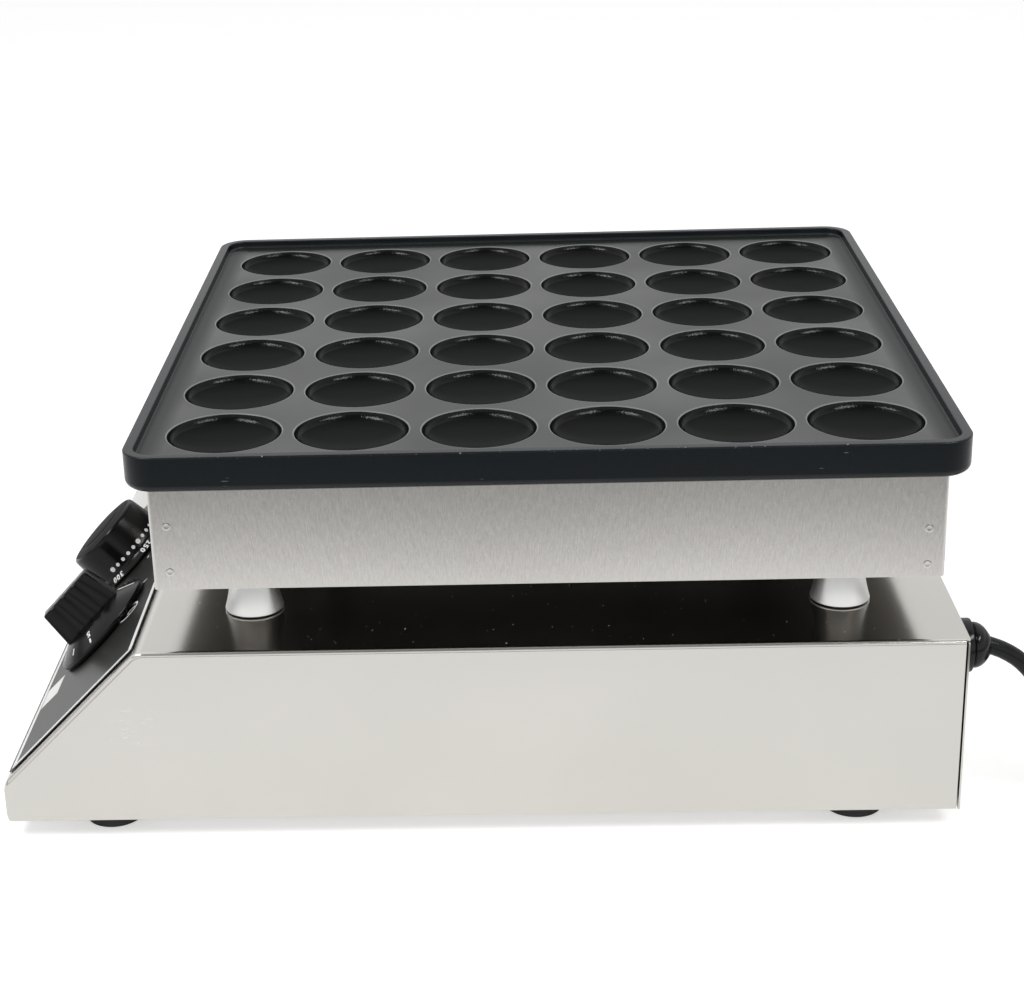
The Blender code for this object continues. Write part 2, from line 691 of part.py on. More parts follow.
def make_feet():
    top = FLOOR_LOW - GAP
    bore = FOOT_BOLT_R + GAP
    profile = [
        (FOOT_RECESS_R, 0),
        (FOOT_R - FOOT_EDGE, 0),
        (FOOT_R, FOOT_EDGE),
        (FOOT_TOP_R, top),
        (bore, top),
        (bore, FOOT_RECESS_H),
        (FOOT_RECESS_R, FOOT_RECESS_H),
    ]
    head_top = FOOT_RECESS_H - GAP
    nut_low = BASE_BOTTOM + SHEET_T + GAP
    for number, (x, y) in enumerate(foot_places(), 1):
        foot = turned(profile, ROUND_SEGMENTS, True)
        solid(f"foot_{number}", foot, "black_rubber", None, (x, y, 0))
        rings = [
            circle(FOOT_HEAD_R, head_top - FOOT_HEAD_H),
            circle(FOOT_HEAD_R, head_top),
            circle(FOOT_BOLT_R, head_top),
            circle(FOOT_BOLT_R, nut_low),
            hexagon(FOOT_NUT_FLATS, nut_low),
            hexagon(FOOT_NUT_FLATS, nut_low + FOOT_NUT_H),
            circle(FOOT_BOLT_R, nut_low + FOOT_NUT_H),
            circle(FOOT_BOLT_R, nut_low + FOOT_NUT_H + BOLT_TAIL),
        ]
        solid(f"foot_bolt_{number}", stacked(rings), "zinc_steel", None, (x, y, 0))


make_feet()

# Base shell: top and two sides bent from one sheet, turned in under the sides and at the rear
SHELL_FLANGE_W = 0.030
SHELL_REAR_FLANGE_W = 0.010
PANEL_RETURN = 0.010  # control panel's lower edge, turned in
SHELL_REAR_Y = REAR_Y - SHEET_T - SEAM
REAR_SCREW_X = BASE_HALF - SHEET_T - SHELL_REAR_FLANGE_W / 2
REAR_SCREW_INSET_Z = 0.014
REAR_SCREW_R = 0.00175


def rear_screw_places():
    """The four screws of the rear panel: across and up."""
    return [
        (x, z)
        for x in (-REAR_SCREW_X, REAR_SCREW_X)
        for z in (BASE_BOTTOM + REAR_SCREW_INSET_Z, BASE_TOP - REAR_SCREW_INSET_Z)
    ]


def rear_screw_drills(low_y, high_y):
    """Drills along Y for the four screws."""
    drills = bmesh.new()
    for x, z in rear_screw_places():
        outline = [(x + a, z + b) for a, b in arc((0, 0), REAR_SCREW_R + GAP, 0, tau, SMALL_SEGMENTS)[:-1]]
        prism(outline, low_y, high_y, "Y", drills)
    return drills


def make_base_shell():
    path = [
        (BASE_HALF - SHELL_FLANGE_W, BASE_BOTTOM),
        (BASE_HALF, BASE_BOTTOM),
        (BASE_HALF, BASE_TOP),
        (-BASE_HALF, BASE_TOP),
        (-BASE_HALF, BASE_BOTTOM),
        (-BASE_HALF + SHELL_FLANGE_W, BASE_BOTTOM),
    ]
    bent = prism(folded(path, SHEET_T, BEND_R), FRONT_Y, SHELL_REAR_Y, "Y")
    shell = solid("base_shell", bent, "brushed_stainless")
    edge = BASE_HALF - SHEET_T
    flanges = bmesh.new()
    low, high = BASE_BOTTOM + SHEET_T / 2, BASE_TOP - SHEET_T / 2
    for side in (-1, 1):
        sides = sorted((side * (edge + SHEET_T / 2), side * (edge - SHELL_REAR_FLANGE_W)))
        block((sides[0], SHELL_REAR_Y - SHEET_T, low), (sides[1], SHELL_REAR_Y, high), flanges)
    boolean(shell, helper("shell_rear_flanges", flanges), "UNION")
    away = FRONT_Y - OVERRUN
    wedge = [
        (away, LIP_TOP),
        (FRONT_Y, LIP_TOP),
        (SLOPE_TOP_Y, BASE_TOP),
        (SLOPE_TOP_Y, BASE_TOP + OVERRUN),
        (away, BASE_TOP + OVERRUN),
    ]
    cutters = prism(wedge, -BASE_HALF - OVERRUN, BASE_HALF + OVERRUN, "X")
    block(
        (-edge, away, BASE_BOTTOM - OVERRUN),
        (edge, FRONT_Y + PANEL_RETURN + GAP, BASE_BOTTOM + SHEET_T + BEND_R),
        cutters,
    )
    boolean(shell, helper("shell_front_cutters", cutters), "DIFFERENCE")
    top = BASE_TOP_Z
    drills = gap_drills(top - SHEET_T - OVERRUN, top + OVERRUN, BOLT_R + GAP, DUCT_R + GAP)
    boolean(shell, helper("shell_top_drills", drills, plate_datum), "DIFFERENCE")
    drills = foot_drills(BASE_BOTTOM - OVERRUN, BASE_BOTTOM + SHEET_T + OVERRUN)
    boolean(shell, helper("shell_foot_drills", drills), "DIFFERENCE")
    drills = rear_screw_drills(SHELL_REAR_Y - SHEET_T - OVERRUN, SHELL_REAR_Y + OVERRUN)
    boolean(shell, helper("shell_screw_drills", drills), "DIFFERENCE")


make_base_shell()

# Floor plate: closes the base from below, held by the foot bolts
FLOOR_INSET = 0.003


def make_base_floor():
    half = BASE_HALF - FLOOR_INSET
    sheet = block((-half, FRONT_Y + FLOOR_INSET, FLOOR_LOW), (half, REAR_Y - FLOOR_INSET, FLOOR_TOP))
    floor = solid("base_floor", sheet, "brushed_stainless")
    drills = foot_drills(FLOOR_LOW - OVERRUN, FLOOR_TOP + OVERRUN)
    boolean(floor, helper("floor_drills", drills), "DIFFERENCE")


make_base_floor()

# Rear panel: a flat sheet over the shell's rear flanges, with the gland's hole and countersunk screws
GLAND_SIDE_INSET = 0.023
GLAND_DROP = 0.013
GLAND_X = BASE_HALF - GLAND_SIDE_INSET
GLAND_Z = BASE_TOP - GLAND_DROP
GLAND_STEM_R = 0.0075
SCREW_HEAD_R = 0.0035
SCREW_LENGTH = 0.010


def make_rear_panel():
    corner = SHEET_T + BEND_R
    half_h = BASE_H / 2
    middle = BASE_BOTTOM + half_h
    outline = [(x, middle + z) for x, z in rounded_rectangle(BASE_HALF, half_h, corner, BEND_STEPS)]
    panel = solid("rear_panel", prism(outline, REAR_Y - SHEET_T, REAR_Y, "Y"), "brushed_stainless")
    low, high = REAR_Y - SHEET_T - OVERRUN, REAR_Y + OVERRUN
    drills = rear_screw_drills(low, high)
    around = arc((GLAND_X, GLAND_Z), GLAND_STEM_R + GAP, 0, tau, ROUND_SEGMENTS)[:-1]
    prism(around, low, high, "Y", drills)
    boolean(panel, helper("rear_drills", drills), "DIFFERENCE")
    taper = SCREW_HEAD_R - REAR_SCREW_R
    sink = [(0, -taper), (REAR_SCREW_R + GAP, -taper), (SCREW_HEAD_R + GAP, 0)]
    sink += [(SCREW_HEAD_R + GAP, OVERRUN), (0, OVERRUN)]
    profile = [(0, -SCREW_LENGTH), (REAR_SCREW_R, -SCREW_LENGTH)]
    profile += [(REAR_SCREW_R, -taper), (SCREW_HEAD_R, 0), (0, 0)]
    sinks = bmesh.new()
    for number, (x, z) in enumerate(rear_screw_places(), 1):
        rearward = Matrix.Translation((x, REAR_Y, z)) @ Matrix.Rotation(-pi / 2, 4, "X")
        add_copy(sinks, turned(sink, SMALL_SEGMENTS), rearward)
        screw = turned(profile, SMALL_SEGMENTS)
        solid(f"rear_screw_{number}", screw, "zinc_steel", None, (x, REAR_Y, z), (-pi / 2, 0, 0))
    boolean(panel, helper("rear_sinks", sinks), "DIFFERENCE")


make_rear_panel()

# Control panel: slope and front lip bent from one sheet, let in between the shell's sides
PANEL_HALF = BASE_HALF - SHEET_T - SEAM
PANEL_TAB = 0.012  # upper edge, turned in under the base's top
FILM_T = 0.0003
FILM_NEAR_MARGIN = 0.0053
FILM_END_MARGIN = 0.0020
FILM_WIDTH = 0.244
FILM_CORNER_R = 0.002
CONTROL_S = 0.040  # both knobs, down the slope
THERMOSTAT_X = 0
TIMER_X = 0.0757
LAMP_PITCH = 0.028
LAMP_SIDE_INSET = 0.0213  # far lamp to the panel's edge
LAMP_X = LAMP_PITCH + LAMP_SIDE_INSET - PANEL_HALF
BUSH_R = 0.005
LAMP_BARREL_R = 0.0056


def control_places():
    """Each hole in the panel: across, down the slope, radius."""
    bushes = [(x, CONTROL_S, BUSH_R + GAP) for x in (THERMOSTAT_X, TIMER_X)]
    lamps = [(LAMP_X - i * LAMP_PITCH, CONTROL_S, LAMP_BARREL_R + GAP) for i in range(2)]
    return bushes + lamps


def panel_drills(low, high):
    """Drills square to the slope, for the controls and the lamps."""
    drills = bmesh.new()
    for x, s, radius in control_places():
        drilled(radius, low, high, (x, -s, 0), drills, ROUND_SEGMENTS)
    return drills


def make_control_panel():
    drop = SHEET_T + GAP
    back = drop * SLOPE_RUN / SLOPE_RISE
    path = [
        (SLOPE_TOP_Y - back + PANEL_TAB, BASE_TOP - drop),
        (SLOPE_TOP_Y - back, BASE_TOP - drop),
        (FRONT_Y, LIP_TOP),
        (FRONT_Y, BASE_BOTTOM),
        (FRONT_Y + PANEL_RETURN, BASE_BOTTOM),
    ]
    bent = prism(folded(path, SHEET_T, BEND_R), -PANEL_HALF, PANEL_HALF, "X")
    panel = solid("control_panel", bent, "brushed_stainless")
    drills = panel_drills(-SHEET_T - OVERRUN, OVERRUN)
    boolean(panel, helper("panel_drills", drills, panel_datum), "DIFFERENCE")


def make_panel_film():
    half_w = FILM_WIDTH / 2
    half_s = SLOPE_LENGTH / 2 - FILM_END_MARGIN
    middle_x = PANEL_HALF - FILM_NEAR_MARGIN - half_w
    corners = rounded_rectangle(half_w, half_s, FILM_CORNER_R)
    outline = [(middle_x + a, b - SLOPE_LENGTH / 2) for a, b in corners]
    film = solid("panel_film", prism(outline, GAP, GAP + FILM_T, "Z"), "panel_print", panel_datum)
    drills = panel_drills(-OVERRUN, GAP + FILM_T + OVERRUN)
    boolean(film, helper("film_drills", drills, panel_datum), "DIFFERENCE")


make_control_panel()
make_panel_film()

# Control bodies: each is a case behind the panel with a bush through it, held by a nut
SPINDLE_R = 0.003
SPINDLE_DEPTH = 0.012  # into the case
SPINDLE_TIP = 0.0160  # above the panel
BUSH_TIP = 0.0043
CONTROL_NUT_FLATS = 0.014
CONTROL_NUT_T = 0.0028
THERMOSTAT_CASE = (0.017, 0.020, 0.022)  # half width, half length, depth
THERMOSTAT_CASE_R = 0.003
TIMER_CASE_R = 0.022
TIMER_CASE_DEPTH = 0.024
CASE_TOP = -SHEET_T - GAP


def bored(name, case, x):
    """Unite a case with its bush, and bore it for the spindle."""
    at = (x, -CONTROL_S, 0)
    bush = drilled(BUSH_R, CASE_TOP - SHEET_T, BUSH_TIP, at, None, ROUND_SEGMENTS)
    boolean(case, helper(f"{name}_bush", bush, panel_datum), "UNION")
    drill = drilled(SPINDLE_R + GAP, -SPINDLE_DEPTH - GAP, BUSH_TIP + OVERRUN, at)
    boolean(case, helper(f"{name}_drill", drill, panel_datum), "DIFFERENCE")


def spindle_and_nut(name, x):
    """The turning spindle, and the nut round the bush."""
    at = (x, -CONTROL_S, 0)
    profile = [(0, -SPINDLE_DEPTH), (SPINDLE_R, -SPINDLE_DEPTH), (SPINDLE_R, SPINDLE_TIP), (0, SPINDLE_TIP)]
    solid(f"{name}_spindle", turned(profile, SMALL_SEGMENTS), "zinc_steel", panel_datum, at)
    low = 2 * GAP + FILM_T
    bore = BUSH_R + GAP
    rings = [
        circle(bore, low),
        hexagon(CONTROL_NUT_FLATS, low),
        hexagon(CONTROL_NUT_FLATS, low + CONTROL_NUT_T),
        circle(bore, low + CONTROL_NUT_T),
    ]
    solid(f"{name}_nut", stacked(rings, hollow=True), "zinc_steel", panel_datum, at)


def make_thermostat_body():
    half_w, half_l, depth = THERMOSTAT_CASE
    outline = [
        (THERMOSTAT_X + a, b - CONTROL_S) for a, b in rounded_rectangle(half_w, half_l, THERMOSTAT_CASE_R)
    ]
    case = prism(outline, CASE_TOP - depth, CASE_TOP, "Z")
    bored("thermostat", solid("thermostat_body", case, "white_moulding", panel_datum), THERMOSTAT_X)
    spindle_and_nut("thermostat", THERMOSTAT_X)


def make_timer_body():
    at = (TIMER_X, -CONTROL_S, 0)
    drum = drilled(TIMER_CASE_R, CASE_TOP - TIMER_CASE_DEPTH, CASE_TOP, at, None, ROUND_SEGMENTS)
    bored("timer", solid("timer_body", drum, "zinc_steel", panel_datum), TIMER_X)
    spindle_and_nut("timer", TIMER_X)


make_thermostat_body()
make_timer_body()

# Knobs: each turns on its spindle; hollow underneath, over the nut
KNOB_LOW = 0.0010  # skirt's lower edge above the panel
KNOB_HOLLOW_R = 0.0095
KNOB_HOLLOW_TOP = 0.0055
KNOB_SEGMENTS = 24
THERMOSTAT_KNOB_R = 0.0236
THERMOSTAT_KNOB_TOP = 0.0220
THERMOSTAT_KNOB_SHARES = [  # of the radius, and of the height from the knob's lower edge
    (0.983, 0),
    (1, 0.033),
    (0.975, 0.067),
    (0.898, 0.143),
    (0.864, 0.295),
    (0.822, 0.848),
    (0.809, 0.905),
    (0.775, 0.933),
    (0.508, 0.981),
    (0, 1),
]
TIMER_DISC_R = 0.0249
TIMER_DISC_TOP = 0.0084
TIMER_DISC_SHARES = [
    (0.980, 0),
    (1, 0.081),
    (1, 0.270),
    (0.980, 0.365),
    (0.602, 0.946),
    (0, 1),
]
TIMER_GRIP_LOW = 0.0060
TIMER_GRIP_TOP = 0.0240
TIMER_GRIP_FOOT = (0.0156, 0.0056)  # half length, half width
TIMER_GRIP_HEAD = (0.0132, 0.0043)
TIMER_GRIP_EDGE = 0.0008
TIMER_GRIP_TURN = radians(13)  # upper end leans away from the near side
GROOVE_HALF_W = 0.0006
GROOVE_DEPTH = 0.0005
GROOVE_PLACE_SHARES = (-0.5, 0, 0.5)


def knob_profile(radius, top, shares):
    """A knob's profile, from the middle of its underside."""
    return [(0, KNOB_LOW)] + [(radius * r, KNOB_LOW + (top - KNOB_LOW) * rise) for r, rise in shares]


def grip_outline(half_l, half_w, z):
    """The grip's outline: a bar with three shallow grooves down each long side."""
    corner = TIMER_GRIP_EDGE
    right = [(half_l, -half_w + corner), (half_l, half_w - corner), (half_l - corner, half_w)]
    top = []
    for share in GROOVE_PLACE_SHARES[::-1]:
        middle = share * half_l
        top += [
            (middle + 2 * GROOVE_HALF_W, half_w),
            (middle + GROOVE_HALF_W, half_w - GROOVE_DEPTH),
            (middle - GROOVE_HALF_W, half_w - GROOVE_DEPTH),
            (middle - 2 * GROOVE_HALF_W, half_w),
        ]
    half = right + top + [(-half_l + corner, half_w)]
    whole = half + [(-x, -y) for x, y in half]
    return [(x, y, z) for x, y in whole]


def hollowed(name, knob, at):
    """Hollow a knob's underside and bore it for its spindle."""
    room = drilled(KNOB_HOLLOW_R, KNOB_LOW - OVERRUN, KNOB_HOLLOW_TOP, at, None, ROUND_SEGMENTS)
    boolean(knob, helper(f"{name}_hollow", room, panel_datum), "DIFFERENCE")
    bore = drilled(SPINDLE_R + GAP, KNOB_LOW - OVERRUN, SPINDLE_TIP + GAP, at)
    boolean(knob, helper(f"{name}_bore", bore, panel_datum), "DIFFERENCE")


def make_thermostat_knob():
    at = (THERMOSTAT_X, -CONTROL_S, 0)
    profile = knob_profile(THERMOSTAT_KNOB_R, THERMOSTAT_KNOB_TOP, THERMOSTAT_KNOB_SHARES)
    body = turned(profile, KNOB_SEGMENTS)
    hollowed("thermostat_knob", solid("thermostat_knob", body, "knob_plastic", panel_datum, at), at)


def make_timer_knob():
    at = (TIMER_X, -CONTROL_S, 0)
    disc = turned(knob_profile(TIMER_DISC_R, TIMER_DISC_TOP, TIMER_DISC_SHARES), KNOB_SEGMENTS)
    knob = solid("timer_knob", disc, "knob_plastic", panel_datum, at)
    head_l, head_w = TIMER_GRIP_HEAD
    rings = [
        grip_outline(*TIMER_GRIP_FOOT, TIMER_GRIP_LOW),
        grip_outline(head_l, head_w, TIMER_GRIP_TOP - TIMER_GRIP_EDGE),
        grip_outline(head_l - TIMER_GRIP_EDGE, head_w - TIMER_GRIP_EDGE, TIMER_GRIP_TOP),
    ]
    grip = helper("timer_grip", stacked(rings), panel_datum, at, (0, 0, pi / 2 + TIMER_GRIP_TURN))
    boolean(knob, grip, "UNION")
    hollowed("timer_knob", knob, at)


make_thermostat_knob()
make_timer_knob()

# Lamps: snap-in neon lamps, with a flange on the panel and a barrel behind it
LAMP_FLANGE_R = 0.0075
LAMP_FLANGE_T = 0.0014
LAMP_LENS_R = 0.0052
LAMP_LENS_H = 0.0048
LAMP_DOME_H = 0.0062
LAMP_BARREL_DEPTH = 0.020
LAMP_EDGE = 0.0004


def make_lamp(name, x, look):
    low = GAP
    profile = [
        (0, -LAMP_BARREL_DEPTH),
        (LAMP_BARREL_R, -LAMP_BARREL_DEPTH),
        (LAMP_BARREL_R, low),
        (LAMP_FLANGE_R, low),
        (LAMP_FLANGE_R, low + LAMP_FLANGE_T - LAMP_EDGE),
        (LAMP_FLANGE_R - LAMP_EDGE, low + LAMP_FLANGE_T),
        (LAMP_LENS_R, low + LAMP_FLANGE_T),
        (LAMP_LENS_R, LAMP_LENS_H),
        (LAMP_LENS_R / 2, LAMP_DOME_H),
        (0, LAMP_DOME_H + LAMP_EDGE),
    ]
    solid(name, turned(profile, ROUND_SEGMENTS), look, panel_datum, (x, -CONTROL_S, 0))


make_lamp("power_lamp", LAMP_X, "green_lens")
make_lamp("heating_lamp", LAMP_X - LAMP_PITCH, "amber_lens")

# Terminal block: on the floor plate, where the supply meets the inner leads
TERMINAL_SIDE_INSET = 0.061
TERMINAL_REAR_INSET = 0.081
TERMINAL_X = BASE_HALF - TERMINAL_SIDE_INSET
TERMINAL_Y = REAR_Y - TERMINAL_REAR_INSET
TERMINAL_HALF_X = 0.023
TERMINAL_HALF_Y = 0.011
TERMINAL_H = 0.018
TERMINAL_WELL_R = 0.0035
TERMINAL_WELL_SEGMENTS = 8
TERMINAL_WELL_DEPTH = 0.006
TERMINAL_PITCH = 0.014


def make_terminal_block():
    low = FLOOR_TOP + GAP
    outline = [
        (TERMINAL_X + a, TERMINAL_Y + b)
        for a, b in rounded_rectangle(TERMINAL_HALF_X, TERMINAL_HALF_Y, TERMINAL_WELL_R / 2, BEND_STEPS)
    ]
    piece = solid("terminal_block", prism(outline, low, low + TERMINAL_H, "Z"), "white_moulding")
    drills = bmesh.new()
    top = low + TERMINAL_H
    for i in (-1, 0, 1):
        for side in (-1, 1):
            at = (TERMINAL_X + i * TERMINAL_PITCH, TERMINAL_Y + side * TERMINAL_HALF_Y / 2, 0)
            low_z, high_z = top - TERMINAL_WELL_DEPTH, top + OVERRUN
            drilled(TERMINAL_WELL_R, low_z, high_z, at, drills, TERMINAL_WELL_SEGMENTS)
    boolean(piece, helper("terminal_drills", drills), "DIFFERENCE")


make_terminal_block()

# Gland: a domed strain relief through the rear panel, with its nut inside
GLAND_FLANGE_R = 0.0108
GLAND_FLANGE_T = 0.0050
GLAND_NECK_R = 0.0092
GLAND_TIP_R = 0.0048
GLAND_DOME_LOW = 0.0058
GLAND_DOME_L = 0.0058
GLAND_LENGTH = 0.0123  # out of the rear panel
GLAND_MOUTH_R = 0.0041
GLAND_MOUTH_DEPTH = 0.0028
GLAND_STEM_L = 0.014
GLAND_NUT_FLATS = 0.019
GLAND_NUT_T = 0.005
GLAND_STEPS = 5


def make_gland():
    low = GAP
    stem_end = -SHEET_T - GLAND_STEM_L
    dome = [
        (GLAND_TIP_R + (GLAND_NECK_R - GLAND_TIP_R) * cos(a), GLAND_DOME_LOW + GLAND_DOME_L * sin(a))
        for a in [i * pi / 2 / GLAND_STEPS for i in range(GLAND_STEPS + 1)]
    ]
    profile = [
        (0, stem_end),
        (GLAND_STEM_R, stem_end),
        (GLAND_STEM_R, low),
        (GLAND_FLANGE_R, low),
        (GLAND_FLANGE_R, GLAND_FLANGE_T - low),
        (GLAND_NECK_R, GLAND_FLANGE_T),
    ]
    profile += dome + [
        (GLAND_TIP_R, GLAND_LENGTH),
        (GLAND_MOUTH_R, GLAND_LENGTH),
        (GLAND_MOUTH_R, GLAND_LENGTH - GLAND_MOUTH_DEPTH),
        (0, GLAND_LENGTH - GLAND_MOUTH_DEPTH),
    ]
    place_and_turn = ((GLAND_X, REAR_Y, GLAND_Z), (-pi / 2, 0, 0))
    solid("cord_gland", turned(profile, ROUND_SEGMENTS), "black_rubber", None, *place_and_turn)
    nut_high = -SHEET_T - GAP
    bore = GLAND_STEM_R + GAP
    rings = [
        circle(bore, nut_high),
        hexagon(GLAND_NUT_FLATS, nut_high),
        hexagon(GLAND_NUT_FLATS, nut_high - GLAND_NUT_T),
        circle(bore, nut_high - GLAND_NUT_T),
    ]
    solid("gland_nut", stacked(rings, hollow=True), "black_rubber", None, *place_and_turn)


make_gland()

# Inner leads: the supply from the gland to the block, and the sleeved wires on to the heater
LEAD_R = 0.0018
LEAD_SPACING = 6 * LEAD_R
TO_ELEMENT_SHARE = 0.45
SUPPLY_WAY_SHARES = (0.35, 0.7)
LEAD_WAY_SHARES = (0.3, 0.6, 0.85)
DUCT_LEAD_X = 0.003
DUCT_LEAD_Y = 0.001
CAPILLARY_R = 0.001
CAPILLARY_DUCT_Y = -0.0036
BULB_R = 0.003
BULB_LENGTH = 0.100
LEAD_LIFT = 0.012  # height at which a lead leaves or meets the floor's pieces
CASE_BACK = CASE_TOP - THERMOSTAT_CASE[2] - GAP
CASE_LEAD_X = 0.010


def row_point(x, y, z):
    """A place given from the plate's datum, in the part's frame."""
    return (x, GRID_Y + y, FIELD_Z + z)


def share_between(start, end, share):
    """A point part of the way from one place to another."""
    return tuple(a + (b - a) * share for a, b in zip(start, end))


def up_the_duct(x, y):
    """A straight climb through the duct, from under the base's top to over the mat."""
    low = BASE_TOP_Z - SHEET_T - DUCT_TAIL - GAP
    high = HOUSING_FLOOR_Z + SHEET_T + MAT_T - GAP
    spot = (x, DUCT_Y + y)
    return [row_point(*spot, low), row_point(*spot, (low + high) / 2), row_point(*spot, high)]


def to_element_end(side):
    """The last bend of a lead, up to the end of the element."""
    low_z = HOUSING_FLOOR_Z + SHEET_T + MAT_T + 2 * GAP + LEAD_R
    end_y = ELEMENT_END_Y + ELEMENT_R
    top_z = ELEMENT_Z - ELEMENT_R - GAP
    return [
        row_point(side * ELEMENT_END_X * TO_ELEMENT_SHARE, (DUCT_Y + end_y) / 2, low_z + LEAD_R),
        row_point(side * ELEMENT_END_X, end_y, low_z + 2 * LEAD_R),
        row_point(side * ELEMENT_END_X, end_y, top_z),
    ]


def make_inner_leads():
    block_z = FLOOR_TOP + GAP + LEAD_LIFT
    rear_face = TERMINAL_Y + TERMINAL_HALF_Y + GAP
    front_face = TERMINAL_Y - TERMINAL_HALF_Y - GAP
    gland_end = (GLAND_X, REAR_Y - SHEET_T - GLAND_STEM_L - GAP, GLAND_Z)
    block_end = (TERMINAL_X, rear_face, block_z)
    turn_in = (GLAND_X, gland_end[1] - LEAD_LIFT, GLAND_Z)
    turn_out = (TERMINAL_X, rear_face + LEAD_LIFT, block_z)
    route = [gland_end, turn_in]
    route += [share_between(turn_in, turn_out, share) for share in SUPPLY_WAY_SHARES]
    route += [turn_out, block_end]
    tube("supply_lead", smooth_route(route, LEAD_SPACING), CORD_R, "cord_sheath")

    climb = up_the_duct(DUCT_LEAD_X, DUCT_LEAD_Y)
    start = (TERMINAL_X + TERMINAL_PITCH, front_face, block_z)
    under = (DUCT_LEAD_X, GRID_Y + DUCT_Y + LEAD_LIFT / 2, BASE_BOTTOM + BASE_H / 2)
    away = (start[0], start[1] - LEAD_LIFT, block_z)
    route = [start, away] + [share_between(away, under, share) for share in LEAD_WAY_SHARES]
    route += [under] + climb + to_element_end(1)
    tube("lead_neutral", smooth_route(route, LEAD_SPACING), LEAD_R, "wire_sleeve")

    climb = up_the_duct(-DUCT_LEAD_X, DUCT_LEAD_Y)
    start = on_panel(-CASE_LEAD_X, CONTROL_S, CASE_BACK)
    out = on_panel(-CASE_LEAD_X, CONTROL_S, CASE_BACK - LEAD_LIFT)
    under = (-CASE_LEAD_X / 2, GRID_Y + DUCT_Y - LEAD_LIFT / 2, BASE_BOTTOM + BASE_H / 2)
    route = [start, out, under] + climb + to_element_end(-1)
    tube("lead_switched", smooth_route(route, LEAD_SPACING), LEAD_R, "wire_sleeve")

    start = (TERMINAL_X - TERMINAL_PITCH, front_face, block_z)
    away = (start[0], start[1] - LEAD_LIFT, block_z)
    end = on_panel(CASE_LEAD_X, CONTROL_S, CASE_BACK)
    before = on_panel(CASE_LEAD_X, CONTROL_S, CASE_BACK - LEAD_LIFT)
    route = [start, away] + [share_between(away, before, share) for share in LEAD_WAY_SHARES] + [before, end]
    tube("lead_live", smooth_route(route, LEAD_SPACING), LEAD_R, "wire_sleeve")


def make_thermostat_bulb():
    climb = up_the_duct(0, CAPILLARY_DUCT_Y)
    start = on_panel(0, CONTROL_S, CASE_BACK)
    out = on_panel(0, CONTROL_S, CASE_BACK - LEAD_LIFT)
    bulb_z = -PLATE_T - GAP - BULB_R
    bulb_start = DUCT_Y + WELL_PITCH
    route = [start, out] + climb
    route.append(row_point(0, DUCT_Y + CAPILLARY_DUCT_Y, CLAMP_TOP - CLAMP_T))
    route.append(row_point(0, DUCT_Y, bulb_z - BULB_R))
    route.append(row_point(0, DUCT_Y + LEAD_LIFT / 2, bulb_z))
    thin = smooth_route(route, LEAD_SPACING)
    points = thin + [row_point(0, bulb_start, bulb_z)]
    thick = [row_point(0, bulb_start + CAPILLARY_R, bulb_z), row_point(0, bulb_start + BULB_LENGTH, bulb_z)]
    radii = [CAPILLARY_R] * len(points) + [BULB_R] * len(thick)
    tube("thermostat_bulb", points + thick, CAPILLARY_R, "turned_aluminium", 1, radii)


make_inner_leads()
make_thermostat_bulb()

# Free lead: from the gland down to the table, then the coil that holds the rest of its length
LEAD_ROUTE = [  # chosen by hand: from inside the gland's mouth, down, and along the table
    (0.1380, 0.2018, 0.0697),
    (0.1380, 0.2083, 0.0672),
    (0.1380, 0.2143, 0.0636),
    (0.1380, 0.2239, 0.0535),
    (0.1380, 0.2330, 0.0425),
    (0.1380, 0.2430, 0.0306),
    (0.1380, 0.2529, 0.0189),
    (0.1380, 0.2630, 0.0100),
    (0.1380, 0.2742, 0.0053),
    (0.1380, 0.2860, 0.0043),
    (0.1380, 0.2950, 0.0043),
]
FREE_SPACING = 4 * CORD_R
COIL_START_R = 0.050
COIL_PITCH = 0.0078  # from turn to turn, and from layer to layer
COIL_STRAIGHT = 2 * CORD_R
COIL_X = LEAD_ROUTE[-1][0] - COIL_START_R
COIL_Y = LEAD_ROUTE[-1][1] + GAP + COIL_STRAIGHT
COIL_POINTS_A_TURN = 24
TURNS_IN = 2.5
TURNS_OUT = 2.25
TIE_T = 0.0005
TIE_HALF_W = 0.004
TIE_TURNS = 1 / 8  # the tie's place, an eighth of a turn from the coil's start
TIE_SPARE = 0.0006  # over the gap, as the turns are curved inside the flat band
COIL_LIFT = CORD_R + TIE_T + GAP
PLUG_RISE_RUN = 0.027  # free lead that rises from the coil to the plug's height
PLUG_RISE_STEPS = 6
PLUG_R = 0.018
PLUG_LENGTH = 0.0463
PLUG_SHARES = [  # of the radius, and of the length from its back
    (0.267, 0),
    (0.311, 0.259),
    (0.500, 0.324),
    (0.656, 0.410),
    (0.778, 0.713),
    (0.978, 0.756),
    (1, 0.782),
    (1, 0.983),
    (0.956, 1),
]
PLUG_MOUTH_DEPTH = 0.003
PIN_R = 0.0024
PIN_LENGTH = 0.019
PIN_SPACING = 0.019
PIN_ROOT = 0.003


